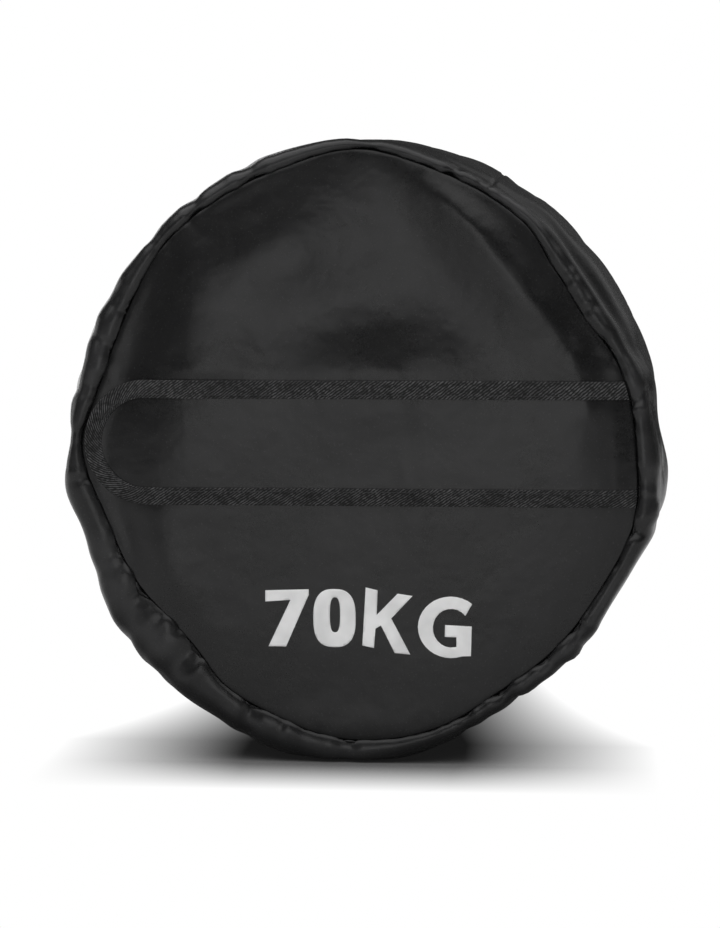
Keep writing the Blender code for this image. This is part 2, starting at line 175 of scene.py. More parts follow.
# Waves of the cloth: height, how many go into one turn, or into one metre along, and shift
BULGE_WAVES = ((0.0008, 5, 0.1), (0.0007, 9, 0.45))
LONG_WAVES = ((0.0009, 1.3, 0.2),)
SLACK_WAVES = ((0.0006, 13, 0.2), (0.0004, 23, 0.6))
PUCKER_WAVES = ((0.00035, 61, 0.2), (0.00025, 97, 0.7), (0.0002, 149, 0.1))
# Patches of the lighter rim crest, which is partly wear and partly painted sheen
RUB_AND_SHEEN_WAVES = ((0.6, 7, 0.1), (0.4, 17, 0.6))
SEAM_WAVES = ((0.0010, 1 / 0.021, 0.0), (0.0006, 1 / 0.013, 1 / TURN))

# Places where the filling pushes the cloth out or leaves it slack: angle in degrees, height in
# metres and half width in degrees
BODY_LUMPS = (
    (90, 0.0006, 8), (188, 0.0055, 8), (214, 0.0050, 9), (230, 0.0035, 8), (352, 0.0045, 10),
    (155, 0.0022, 5), (146, 0.0014, 4), (64, -0.0014, 8), (12, 0.0016, 5), (325, 0.0012, 7),
)
SEAM_LUMPS = (
    (92, 0.0026, 11), (232, -0.0020, 6), (252, -0.0020, 8), (52, 0.0030, 6), (31, -0.0042, 8),
)

FRONT_CREASES = (
    Crease(133, 0.0010, 0.0064, 0.060, 0.020),
    Crease(125, 0.0015, 0.0064, 0.080, -0.012),
    Crease(111, 0.0020, 0.0070, 0.080, 0.018),
    Crease(72, 0.0018, 0.0034, 0.026, -0.008),
    Crease(69, -0.0006, 0.0034, 0.020, -0.006),
    Crease(40, 0.0006, 0.0040, 0.024, 0.006),
    Crease(33, 0.0007, 0.0040, 0.022, -0.006),
    Crease(10, 0.0018, 0.0034, 0.026, 0.008),
    Crease(344, 0.0022, 0.0052, 0.060, 0.012),
    Crease(321, 0.0022, 0.0056, 0.070, -0.016),
    Crease(311, 0.0018, 0.0056, 0.060, 0.018),
    Crease(300, 0.0024, 0.0058, 0.070, 0.020),
    Crease(292, 0.0014, 0.0052, 0.060, -0.012),
    Crease(268, 0.0018, 0.0056, 0.060, -0.008),
    Crease(255, -0.0010, 0.0060, 0.070, 0.010),
    Crease(247, 0.0022, 0.0064, 0.080, 0.012),
    Crease(231, 0.0022, 0.0070, 0.090, -0.020),
    Crease(222, -0.0016, 0.0080, 0.090, 0.046),
    Crease(213, 0.0028, 0.0072, 0.100, 0.052),
    Crease(203, 0.0014, 0.0070, 0.080, 0.020),
    Crease(167, 0.0013, 0.0056, 0.060, 0.012),
    Crease(158, 0.0018, 0.0064, 0.070, -0.014),
    Crease(186, 0.0016, 0.0036, 0.026, 0.004),
    Crease(22, 0.0014, 0.0110, 0.240, -0.050),
    Crease(352, 0.0014, 0.0120, 0.220, 0.060),
    Crease(88, 0.0012, 0.0110, 0.200, 0.050),
    Crease(150, 0.0014, 0.0120, 0.220, -0.050),
    Crease(178, 0.0014, 0.0110, 0.240, 0.060),
)
REAR_CREASES = (
    Crease(8, 0.0014, 0.0110, 0.240, 0.060),
    Crease(340, 0.0014, 0.0120, 0.220, -0.040),
    Crease(70, 0.0012, 0.0110, 0.220, -0.060),
    Crease(118, 0.0014, 0.0120, 0.240, 0.050),
    Crease(196, 0.0014, 0.0110, 0.220, -0.060),
    Crease(12, 0.0024, 0.0032, 0.032, 0.006),
    Crease(38, 0.0020, 0.0030, 0.028, -0.008),
    Crease(63, 0.0030, 0.0028, 0.034, 0.004),
    Crease(92, 0.0018, 0.0034, 0.026, 0.006),
    Crease(118, 0.0028, 0.0030, 0.032, -0.006),
    Crease(149, 0.0022, 0.0034, 0.030, 0.008),
    Crease(176, 0.0016, 0.0030, 0.026, -0.004),
    Crease(204, 0.0028, 0.0034, 0.034, 0.006),
    Crease(238, 0.0034, 0.0034, 0.036, -0.008),
    Crease(275, 0.0024, 0.0030, 0.030, 0.004),
    Crease(307, 0.0030, 0.0032, 0.034, 0.008),
    Crease(338, 0.0020, 0.0032, 0.028, -0.006),
)
# Bank on either side of a crease and of a tuck: its share of their depth, and its place in half widths
CREASE_BANK = (0.40, 1.7)
TUCK_BANK = (0.45, 1.6)
# Short tucks of the round end itself, which run in from its seam
FRONT_TUCKS = (
    Crease(133, 0.0003, 0.0042, 0.030, 0.005),
    Crease(127, 0.0005, 0.0034, 0.026, -0.004),
    Crease(109, 0.0002, 0.0040, 0.022, 0.003),
    Crease(76, 0.0004, 0.0036, 0.028, -0.008),
    Crease(20, 0.0004, 0.0044, 0.018, 0.003),
    Crease(303, 0.0005, 0.0044, 0.018, 0.003),
    Crease(262, 0.0004, 0.0050, 0.022, -0.003),
    Crease(224, 0.0006, 0.0048, 0.024, 0.004),
    Crease(160, 0.0004, 0.0048, 0.018, 0.002),
)
REAR_TUCKS = (
    Crease(25, 0.0012, 0.0032, 0.026, 0.004),
    Crease(64, 0.0014, 0.0030, 0.030, -0.004),
    Crease(105, 0.0010, 0.0032, 0.024, 0.003),
    Crease(142, 0.0012, 0.0032, 0.028, -0.004),
    Crease(196, 0.0010, 0.0034, 0.022, 0.003),
    Crease(233, 0.0012, 0.0034, 0.026, 0.004),
    Crease(271, 0.0010, 0.0034, 0.020, 0.002),
    Crease(305, 0.0012, 0.0032, 0.026, -0.004),
    Crease(340, 0.0010, 0.0034, 0.022, 0.003),
)
FRONT_DENTS = (
    Dent(-0.066, 0.334, 0.036, 0.034, 0, 0.165, 130),
    Dent(-0.128, 0.262, 0.080, 0.048, 86, 0.220, 172),
    Dent(-0.140, 0.190, 0.050, 0.048, 90, 0.120, 178),
    Dent(0.007, 0.259, 0.060, 0.040, 0, 0.190, 90),
    Dent(0.104, 0.308, 0.060, 0.020, 126, 0.070, 30),
    Dent(0.070, 0.345, 0.030, 0.016, 128, 0.100, 40),
    Dent(-0.050, 0.282, 0.040, 0.030, 90, 0.060, 240),
    Dent(0.045, 0.330, 0.056, 0.026, 120, 0.110, 225),
    Dent(0.088, 0.262, 0.040, 0.026, 120, 0.060, 230),
    Dent(0.147, 0.206, 0.044, 0.028, 100, 0.150, 10),
    Dent(0.036, 0.192, 0.040, 0.010, 90, 0.090, 30),
    Dent(-0.068, 0.198, 0.040, 0.020, 90, 0.050, 200),
    Dent(-0.132, 0.127, 0.046, 0.019, 111, 0.300, 186),
    Dent(-0.014, 0.026, 0.060, 0.024, 0, 0.080, 90),
)
FRONT_RIDGES = (
    Ridge((0.036, 0.372), (0.118, 0.268), 0.020, 0.015, 0.0030),
    Ridge((0.126, 0.262), (0.142, 0.212), 0.014, 0.012, 0.0022),
)
REAR_DENTS = (
    Dent(0.060, 0.310, 0.046, 0.030, 30, 0.12, 80),
    Dent(-0.050, 0.300, 0.040, 0.026, 110, 0.10, 200),
    Dent(-0.100, 0.210, 0.044, 0.026, 80, 0.11, 170),
    Dent(0.110, 0.200, 0.040, 0.024, 95, 0.11, 20),
    Dent(0.010, 0.220, 0.050, 0.030, 20, 0.12, 90),
    Dent(-0.060, 0.100, 0.050, 0.026, 150, 0.10, 210),
    Dent(0.070, 0.090, 0.046, 0.024, 40, 0.10, 300),
)
REAR_RIDGES = (Ridge((-0.120, 0.300), (-0.030, 0.340), 0.014, 0.012, 0.0024),)


def smooth_step(value: np.ndarray) -> np.ndarray:
    """Smooth rise from 0 to 1."""
    t = np.clip(value, 0.0, 1.0)
    return t * t * (3.0 - 2.0 * t)


def bell(off: np.ndarray) -> np.ndarray:
    """Soft hump, 1 high at 0."""
    return np.exp(-(off * off))


def groove(off: np.ndarray, bank: float, bank_place: float) -> np.ndarray:
    """Section of a fold: its groove, less the bank on either side."""
    return bell(off) - bank * bell(np.abs(off) - bank_place)


def angle_from(angle: np.ndarray, degrees: float) -> np.ndarray:
    """Short way round from a place in degrees to each angle, in radians."""
    return (angle - math.radians(degrees) + math.pi) % TURN - math.pi


def lengths(steps: np.ndarray) -> np.ndarray:
    """Distance from the start, before the first step and after each one."""
    return np.concatenate([[0.0], np.cumsum(steps)])


def joined(*parts: np.ndarray) -> np.ndarray:
    """Places from the arrays of their parts, such as X, Y and Z."""
    return np.stack(np.broadcast_arrays(*parts), axis=-1)


def flat_grid(across: np.ndarray, along: np.ndarray) -> np.ndarray:
    """Places on the flat cloth, from those of its columns and of its rows."""
    return joined(*np.meshgrid(across, along))


def lift_off(height: np.ndarray, softness: float) -> np.ndarray:
    """Heights pressed softly onto the floor, off which the cloth lifts over a given height."""
    return 0.5 * (height + np.sqrt(height * height + softness * softness))


def ripple(place: np.ndarray, waves: Iterable[tuple[float, float, float]]) -> np.ndarray:
    """Sum of sine waves.

    Args:
        place: Places along the wave.
        waves: Each wave's height, how many fit in one unit, and its shift.

    Returns:
        The height at each place.
    """
    total = np.zeros_like(place)
    for height, count, shift in waves:
        total += height * np.sin(TURN * (place * count + shift))
    return total


def curve(spots: Sequence[np.ndarray], t: np.ndarray) -> np.ndarray:
    """Smooth way from the second of four spots to the third.

    Args:
        spots: The spots, of which the outer two set the slopes.
        t: Share of the way.

    Returns:
        The value at each share.
    """
    before, here, there, after = spots
    slope_here = (there - before) / 2
    slope_there = (after - here) / 2
    rise = here * (1 + 2 * t) * (1 - t) ** 2 + there * t * t * (3 - 2 * t)
    return rise + slope_here * t * (1 - t) ** 2 - slope_there * t * t * (1 - t)


def through(spots: np.ndarray, places: np.ndarray) -> np.ndarray:
    """Smooth curve through rows of values.

    Args:
        spots: One row for each spot of the curve.
        places: Where to read it, counted in rows.

    Returns:
        One row for each place.
    """
    last = len(spots) - 1
    index = np.clip(np.floor(places).astype(int), 0, last - 1)
    t = (places - index)[:, None]
    return curve([spots[np.clip(index + k, 0, last)] for k in (-1, 0, 1, 2)], t)


def round_table(shares: Sequence[float], angle: np.ndarray) -> np.ndarray:
    """Smooth value at an angle of a table that goes evenly round the circle.

    Args:
        shares: Values of the table, from +X towards +Z.
        angle: Angles, in radians.

    Returns:
        The value at each angle.
    """
    values = np.array(shares)
    place = (angle % TURN) * len(values) / TURN
    index = np.floor(place).astype(int)
    return curve([values[(index + k) % len(values)] for k in (-1, 0, 1, 2)], place - index)


def lumps(angle: np.ndarray, rows: Iterable[tuple[float, float, float]]) -> np.ndarray:
    """Sum of soft lumps round an outline.

    Args:
        angle: Angles, in radians.
        rows: Each lump's angle in degrees, height, and half width in degrees.

    Returns:
        The height at each angle.
    """
    total = np.zeros_like(angle)
    for middle, height, half in rows:
        total += height * bell(angle_from(angle, middle) / math.radians(half))
    return total


@dataclass(frozen=True)
class BagForm:
    """Outlines of the bag, as the source of the model has them, with the folds of the cloth.

    Args:
        length: From one end's plane to the other's.
        seam_size: Plain radius of the end seams, which SEAM_SHARES and SEAM_LUMPS change.
        body_size: Plain radius of the side, which BODY_SHARES and BODY_LUMPS change.
        axis_height: Height of the axis above the floor.
        seam_dip: How far a round end sinks at its seam, over dip_width.
        allowance: Cloth of the side that lies behind the seam.
        turned: Depth to which the edge of a round end is turned in.
        rim_room: Part of a round end that the rim covers.
        pillow: How far a round end bulges, less pillow_share of it, over pillow_width from the seam.
        edge_share: Share of the dents that is left at the seam, over edge_width.
        flap_share: Share of the dents that is left under the flap, and flap_room past its edge.
        fabric: Thickness of the coated cloth.
        flap_height: Height of the flap's and the slit's middle line.
        flap_half: Half of the flap's width.
        slit_middle: Middle of the filling slit along X.
        side_seam: Angle of the lengthwise seam, in degrees.
        floor_softness: Height over which the cloth lifts off the floor.
    """

    length: float = 0.430
    seam_size: float = 0.175
    body_size: float = 0.187
    axis_height: float = 0.194895
    seam_dip: float = 0.0005
    dip_width: float = 0.0013
    allowance: float = 0.008
    turned: float = 0.012
    rim_room: float = 0.019
    pillow: float = 0.0026
    pillow_share: float = 0.4
    pillow_width: float = 0.018
    edge_share: float = 0.25
    edge_width: float = 0.020
    flap_share: float = 0.80
    flap_room: float = 0.004
    fabric: float = 0.0012
    flap_height: float = 0.198895
    flap_half: float = 0.0385
    slit_middle: float = -0.02002
    side_seam: float = 63.75
    floor_softness: float = 0.004

    @property
    def front(self) -> float:
        """Place of the front end's plane along Y."""
        return -self.length / 2

    def seam(self, angle: np.ndarray) -> np.ndarray:
        """Distance of the end seam from the bag's axis."""
        return self.seam_size * round_table(SEAM_SHARES, angle) + lumps(angle, SEAM_LUMPS)

    def body(self, angle: np.ndarray) -> np.ndarray:
        """Distance of the bag's side from its axis."""
        return self.body_size * round_table(BODY_SHARES, angle) + lumps(angle, BODY_LUMPS)

    def around(self, radius: np.ndarray, angle: np.ndarray) -> tuple[np.ndarray, np.ndarray]:
        """X and Z of points, from their distance and angle round the axis."""
        return radius * np.cos(angle), self.axis_height + radius * np.sin(angle)

    def seam_reach(self, height: float) -> float:
        """Distance of the end seam from the middle plane, on the right.

        Args:
            height: Height above the floor.

        Returns:
            The distance.
        """
        rise = height - self.axis_height
        reach = self.seam_size
        for _ in range(6):
            radius = float(self.seam(np.array([math.atan2(rise, reach)]))[0])
            reach = math.sqrt(radius * radius - rise * rise)
        return reach

    def inside_seam(self, x: np.ndarray, z: np.ndarray) -> np.ndarray:
        """Distance of a point of a round end from its seam."""
        up = z - self.axis_height
        return self.seam(np.arctan2(up, x)) - np.hypot(x, up)

    def dip(self, x: np.ndarray, z: np.ndarray) -> np.ndarray:
        """How far a round end sinks towards its seam."""
        near = np.clip(self.inside_seam(x, z), 0.0, None) / self.dip_width
        return self.seam_dip * np.exp(-near**1.3)

    def swell(self, x: np.ndarray, z: np.ndarray, end: End = End.FRONT) -> np.ndarray:
        """How far the cloth of a round end stands out of its plane, without the dip at its seam.

        Args:
            x: Places along X.
            z: Heights above the floor.
            end: Which end of the bag.

        Returns:
            The distance at each place.
        """
        dents, ridges = (FRONT_DENTS, FRONT_RIDGES) if end is End.FRONT else (REAR_DENTS, REAR_RIDGES)
        total = np.zeros_like(x)
        for dent in dents:
            turn = math.radians(dent.turn)
            facing = math.radians(dent.facing)
            aside = x - dent.x
            above = z - dent.z
            along = (aside * math.cos(turn) + above * math.sin(turn)) / dent.half_length
            off = (above * math.cos(turn) - aside * math.sin(turn)) / dent.half_width
            way = aside * math.cos(facing) + above * math.sin(facing)
            total -= dent.slope * way * np.exp(-(along * along + off * off))
        for ridge in ridges:
            total += self.fold(ridge, x, z)
        near = np.clip(self.inside_seam(x, z), 0.0, None)
        total *= self.edge_share + (1.0 - self.edge_share) * smooth_step(near / self.edge_width)
        if end is End.FRONT:
            past_flap = np.abs(z - self.flap_height) - self.flap_half
            free = smooth_step((past_flap + self.flap_room) / (3 * self.flap_room))
            total *= self.flap_share + (1.0 - self.flap_share) * free
        return total + self.pillow * (self.pillow_share - np.exp(-near / self.pillow_width))

    @staticmethod
    def fold(ridge: Ridge, x: np.ndarray, z: np.ndarray) -> np.ndarray:
        """Height of one fold line, which runs out beyond both of its ends.

        Args:
            ridge: The fold.
            x: Places along X.
            z: Heights above the floor.

        Returns:
            The height at each place.
        """
        start = Vector(ridge.start)
        along = Vector(ridge.end) - start
        length = along.length
        along.normalize()
        share = ((x - start.x) * along.x + (z - start.y) * along.y) / length
        off = (z - start.y) * along.x - (x - start.x) * along.y
        width = np.where(off > 0, ridge.left, ridge.right)
        begun = smooth_step(share / 0.35 + 0.4)
        unfinished = smooth_step((1.25 - share) / 0.45)
        return ridge.height * begun * unfinished * np.exp(-(np.abs(off / width) ** 1.4))

    def tucks(self, x: np.ndarray, z: np.ndarray, end: End) -> np.ndarray:
        """Depth of the short tucks that run into a round end from its seam.

        Args:
            x: Places along X.
            z: Heights above the floor.
            end: Which end of the bag.

        Returns:
            The depth at each place.
        """
        angle = np.arctan2(z - self.axis_height, x)
        near = self.inside_seam(x, z)
        total = np.zeros_like(x)
        for tuck in FRONT_TUCKS if end is End.FRONT else REAR_TUCKS:
            along = np.clip(near / tuck.reach, 0.0, 1.0)
            aside = angle_from(angle, tuck.angle) * self.seam_size - tuck.skew * along
            off = aside / (tuck.width * (1.0 + along))
            total += tuck.depth * groove(off, *TUCK_BANK) * (1 - along) ** 1.5
        return total

    def end_depth(self, x: np.ndarray, z: np.ndarray, end: End) -> np.ndarray:
        """Depth of a round end behind its plane, at each place."""
        return self.dip(x, z) + self.tucks(x, z, end) - self.swell(x, z, end)

    def side_spots(self, angle: np.ndarray) -> tuple[np.ndarray, np.ndarray]:
        """Spots of the side's section at each angle, from the front seam to the rear one.

        Args:
            angle: Angles round the axis, in radians.

        Returns:
            Depths and radii, with a row for each spot.
        """
        seam = self.seam(angle)
        body = self.body(angle)
        creased = np.clip(round_table(CREASE_SHARES, angle), 0.0, 1.0)
        depths = []
        radii = []
        for depth, plain_way, creased_way in RIM_SPOTS:
            way = plain_way + (creased_way - plain_way) * creased
            depths.append(np.full_like(angle, depth))
            radii.append(seam + (body - seam) * way)
        for depth, proud in BARREL_SPOTS:
            depths.append(np.full_like(angle, depth))
            radii.append(body + proud)
        depths += [self.length - row for row in reversed(depths[:-1])]
        radii += list(reversed(radii[:-1]))
        return np.array(depths), np.array(radii)


FORM = BagForm()


def spread_angles(
    count: int, creases: Iterable[Crease], crowding: float = 2.2, width: float = 0.045
) -> np.ndarray:
    """Angles round the bag, closer together where it is creased.

    Args:
        count: How many steps the circle has.
        creases: The creases.
        crowding: How many more steps there are at a crease, as a share.
        width: How far from a crease they lie closer, in radians.

    Returns:
        Angles in radians, the last a full turn after the first.
    """
    fine = np.linspace(0.0, TURN, 4001)
    density = np.ones_like(fine)
    for crease in creases:
        density += crowding * bell(angle_from(fine, crease.angle) / width)
    total = lengths((density[1:] + density[:-1]) / 2)
    return np.interp(np.linspace(0.0, total[-1], count + 1), total, fine)


def normals_of(points: np.ndarray) -> np.ndarray:
    """Unit normals of a grid of points, whose last column may be its first once more.

    Args:
        points: Rows of columns of places.

    Returns:
        The normal at each point.
    """
    down = np.gradient(points, axis=0)
    across = np.gradient(points, axis=1)
    if np.allclose(points[:, 0], points[:, -1]):
        across[:, 0] = across[:, -1] = (points[:, 1] - points[:, -2]) / 2
    normal = np.cross(across, down)
    return normal / np.maximum(np.linalg.norm(normal, axis=2, keepdims=True), 1e-12)


def to_front(at: Vector) -> Vector:
    """Direction out of the front end, the same at every point."""
    return Vector((0.0, -1.0, 0.0))


def turn_out(bm: bmesh.types.BMesh) -> None:
    """Turn the faces of a closed mesh to its outside.

    Args:
        bm: The mesh under work.
    """
    bmesh.ops.recalc_face_normals(bm, faces=bm.faces)
    if bm.calc_volume(signed=True) < 0:
        bmesh.ops.reverse_faces(bm, faces=bm.faces)


@dataclass
class ClothGrid:
    """Piece of cloth or tape made from a grid, whose points go to given places.

    Args:
        name: Name of the piece.
        points: Places of the points, in rows and columns.
        flat: Place of each point on the flat cloth, in metres, which the weave follows; X and Z if none.
        rub_and_sheen: How much lighter the cloth is at each point, for wear and for painted sheen.
        closed: Whether it is a closed body, with its open ends filled.
    """

    name: str
    points: np.ndarray
    flat: np.ndarray | None = None
    rub_and_sheen: np.ndarray | None = None
    closed: bool = False

    @classmethod
    def swept(cls, name: str, corners: Iterable[tuple[np.ndarray, ...]], axis: int = 1) -> "ClothGrid":
        """Closed strip through the corners of its section.

        Args:
            name: Name of the piece.
            corners: For each corner, X, Y and Z along the strip, and its two places on the flat cloth.
            axis: 1 where the corners make the columns of the grid, 0 where they make its rows.

        Returns:
            The grid.
        """
        places = np.stack([joined(*corner) for corner in corners], axis=axis)
        return cls(name, places[..., :3], places[..., 3:], closed=True)

    def build(
        self,
        outward: Callable[[Vector], Vector] = to_front,
        cut: Callable[[bmesh.types.BMesh], None] | None = None,
    ) -> bpy.types.Object:
        """Make the piece.

        Args:
            outward: Gives the direction that is outside at a point.
            cut: Cuts an opening into it.

        Returns:
            The new object.
        """
        bm = self.shape()
        if self.closed:
            turn_out(bm)
        else:
            bm.normal_update()
            score = 0.0
            for face in bm.faces:
                score += face.normal.dot(outward(face.calc_center_median())) * face.calc_area()
            if score < 0:
                bmesh.ops.reverse_faces(bm, faces=bm.faces)
        if cut:
            cut(bm)
        return add_piece(self.name, bm)

    def shape(self) -> bmesh.types.BMesh:
        """Grid with its points in place.

        Returns:
            The mesh under work.
        """
        rows, columns = self.points.shape[:2]
        flat = self.points[..., ::2] if self.flat is None else self.flat
        bm = bmesh.new()
        sheet = bm.loops.layers.uv.new("flat")
        rub_and_sheen = bm.verts.layers.float.new("rub_and_sheen")
        bmesh.ops.create_grid(bm, x_segments=columns - 1, y_segments=rows - 1, size=1.0)
        bm.verts.index_update()
        cells = []
        for vert in bm.verts:
            column = round((vert.co.x + 1) / 2 * (columns - 1))
            cells.append((round((vert.co.y + 1) / 2 * (rows - 1)), column))
        for face in bm.faces:
            for loop in face.loops:
                loop[sheet].uv = flat[cells[loop.vert.index]]
        for vert, cell in zip(bm.verts, cells):
            vert.co = self.points[cell]
            if self.rub_and_sheen is not None:
                vert[rub_and_sheen] = self.rub_and_sheen[cell]
        bmesh.ops.remove_doubles(bm, verts=bm.verts, dist=1e-6)
        bmesh.ops.dissolve_degenerate(bm, dist=1e-7, edges=bm.edges)
        if self.closed:
            rim = [edge for edge in bm.edges if edge.is_boundary]
            bmesh.ops.holes_fill(bm, edges=rim, sides=0)
        return bm


def add_piece(name: str, bm: bmesh.types.BMesh) -> bpy.types.Object:
    """Turn a mesh under work into a smooth object at the origin.

    Args:
        name: Name of the piece.
        bm: The mesh, which is used up.

    Returns:
        The new object.
    """
    mesh = bpy.data.meshes.new(name)
    bm.to_mesh(mesh)
    bm.free()
    mesh.shade_smooth()
    piece = bpy.data.objects.new(name, mesh)
    bpy.context.scene.collection.objects.link(piece)
    return piece


def thicken(piece: bpy.types.Object, thickness: float) -> None:
    """Give a sheet its thickness, towards its inner side.

    Args:
        piece: The sheet.
        thickness: The thickness of its cloth.
    """
    wall = piece.modifiers.new("cloth_thickness", "SOLIDIFY")
    wall.thickness = thickness
    wall.offset = -1.0
    wall.use_even_offset = False
    wall.use_quality_normals = True


def finished(
    piece: bpy.types.Object,
    finish: "Finish",
    body: str | None,
    nodes: Sequence[str] = (),
) -> None:
    """body: The body that it rides on, or None to leave it unattached, between two.
        nodes: The solids that it stands for.
    """
    piece.data.materials.clear()
    piece.data.materials.append(finish.material())
    if body:
        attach(piece, body)
    if nodes:
        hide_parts(*nodes)
    LOG.info("%s: %d faces on %s", piece.name, len(piece.data.polygons), body or "two bodies")


class Graph:
    """Short way to wire the nodes of one material."""

    def __init__(self, name: str) -> None:
        """Start a material with its shader.

        Args:
            name: Name of the material.
        """
        self.made = bpy.data.materials.new(name)
        self.made.use_nodes = True
        self.tree = self.made.node_tree
        self.shader = self.tree.nodes["Principled BSDF"]

    def node(self, kind: str, inputs: dict | None = None, **settings: object) -> bpy.types.Node:
        """Add a node.

        Args:
            kind: Type of the node.
            inputs: What goes into its sockets: sockets of other nodes, or values.
            settings: Its own settings.

        Returns:
            The new node.
        """
        made = self.tree.nodes.new(kind)
        for name, value in settings.items():
            setattr(made, name, value)
        for key, value in (inputs or {}).items():
            self.feed(made.inputs[key], value)
        return made

    def feed(self, socket: bpy.types.NodeSocket, value: object) -> None:
        """Link a socket, or set its value.

        Args:
            socket: The socket.
            value: A socket of another node, a number, or a colour as three numbers.
        """
        if isinstance(value, bpy.types.NodeSocket):
            self.tree.links.new(value, socket)
        else:
            socket.default_value = (*value, 1.0) if isinstance(value, tuple) else value

    def dress(self, inputs: dict[str, object]) -> None:
        """Feed the shader's sockets by their names."""
        for key, value in inputs.items():
            self.feed(self.shader.inputs[key], value)

    def sum(self, operation: str, *values: object) -> bpy.types.NodeSocket:
        """Result of one arithmetic step on sockets or numbers."""
        return self.node("ShaderNodeMath", dict(enumerate(values)), operation=operation).outputs[0]

    def place(self) -> bpy.types.NodeSocket:
        """Place in the object's own space."""
        return self.node("ShaderNodeTexCoord").outputs["Object"]

    def parts(self, vector: bpy.types.NodeSocket) -> tuple[bpy.types.NodeSocket, bpy.types.NodeSocket]:
        """First two parts of a place."""
        return tuple(self.node("ShaderNodeSeparateXYZ", {"Vector": vector}).outputs)[:2]

    def flat_place(self) -> tuple[bpy.types.NodeSocket, bpy.types.NodeSocket]:
        """Place on the flat cloth, along and across, in metres."""
        return self.parts(self.node("ShaderNodeUVMap", uv_map="flat").outputs["UV"])

    def wave(self, place: bpy.types.NodeSocket, pitch: float) -> bpy.types.NodeSocket:
        """Sine of a place, with one whole wave in each pitch."""
        return self.sum("SINE", self.sum("MULTIPLY", place, TURN / pitch))

    def weave(self, yarn: float) -> bpy.types.NodeSocket:
        """Pattern of yarns of one width that cross."""
        along, across = self.flat_place()
        return self.sum("MULTIPLY", self.wave(along, yarn), self.wave(across, yarn))

    def noise(self, size: float, detail: float = 2.0, roughness: float = 0.5) -> bpy.types.NodeSocket:
        """Cloudy pattern in the object's own space.

        Args:
            size: Size of its clouds, in metres.
            detail: How many finer layers it has.
            roughness: How strong these are.

        Returns:
            The socket with its value.
        """
        inputs = {"Vector": self.place(), "Scale": 1.0 / size, "Detail": detail, "Roughness": roughness}
        return self.node("ShaderNodeTexNoise", inputs).outputs["Fac"]

    def between(
        self, value: object, low: float, high: float, start: float = 0.0, end: float = 1.0
    ) -> bpy.types.NodeSocket:
        """Value carried from one range into another.

        Args:
            value: What is carried over.
            low: Result at the start of the range.
            high: Result at its end.
            start: Start of the range.
            end: End of the range.

        Returns:
            The socket with the result.
        """
        inputs = {"Value": value, "From Min": start, "From Max": end, "To Min": low, "To Max": high}
        return self.node("ShaderNodeMapRange", inputs).outputs["Result"]

    def mixed(self, share: object, first: object, second: object) -> bpy.types.NodeSocket:
        """Colour between two colours."""
        inputs = {"Factor": share, "A": first, "B": second}
        return self.node("ShaderNodeMix", inputs, data_type="RGBA").outputs["Result"]

    def bump(
        self, patterns: Iterable[tuple[bpy.types.NodeSocket, float]], depth: float, strength: float
    ) -> None:
        """Let patterns stand out of the surface.

        Args:
            patterns: Each pattern with its share of the height.
            depth: How high a share of 1 stands, in metres.
            strength: How strongly it shows.
        """
        height = 0.5
        for pattern, share in patterns:
            height = self.sum("MULTIPLY_ADD", pattern, share, height)
        inputs = {"Height": height, "Distance": depth, "Strength": strength}
        self.dress({"Normal": self.node("ShaderNodeBump", inputs).outputs["Normal"]})


@dataclass(frozen=True)
class Finish:
    """Finish of a piece, wired once and used again."""

    name: str

    def material(self) -> bpy.types.Material:
        """Wire the finish when it is first asked for.

        Returns:
            Its material.
        """
        if self.name not in bpy.data.materials:
            self.wire()
        return bpy.data.materials[self.name]

    def wire(self) -> None:
        """Wire the finish into a new material."""
        raise NotImplementedError


@dataclass(frozen=True)
class CoatedNylon(Finish):
    """Tightly woven nylon with a satin coat, lighter along the crest of the rim: partly wear, partly painted
    sheen.
    """

    name: str = "coated_nylon"
    dark: Colour = (0.0052, 0.0052, 0.0053)
    pale: Colour = (0.0128, 0.0128, 0.0131)
    wear_and_sheen: Colour = (0.060, 0.060, 0.062)
    yarn: float = 0.0011
    roughness: tuple[float, float] = (0.22, 0.28)

    def wire(self) -> None:
        """Wire the finish into a new material."""
        graph = Graph(self.name)
        grain = graph.noise(0.0012, 3.0, 0.6)
        cloud = graph.between(graph.noise(0.060, 3.0, 0.55), -0.3, 0.3, 0.35, 0.65)
        colour = graph.mixed(graph.sum("ADD", cloud, grain), self.dark, self.pale)
        # Lighter colour along the rim's crest: partly wear, partly painted sheen.
        rub_and_sheen = graph.node("ShaderNodeAttribute", attribute_name="rub_and_sheen").outputs["Fac"]
        graph.dress({
            "Base Color": graph.mixed(graph.sum("MULTIPLY", rub_and_sheen, 0.35), colour, self.wear_and_sheen),
            "Roughness": graph.between(grain, *self.roughness, 0.3, 0.7),
            "Sheen Weight": 0.02,
            "Sheen Roughness": 0.5,
            "Specular IOR Level": 0.295,
        })
        ribs = graph.wave(graph.flat_place()[0], self.yarn / 2)
        crumple = graph.noise(0.016, 2.0, 0.5)
        patterns = ((graph.weave(self.yarn), 0.30), (ribs, 0.10), (grain, 0.8), (crumple, 12.0))
        graph.bump(patterns, 0.00007, 0.8)


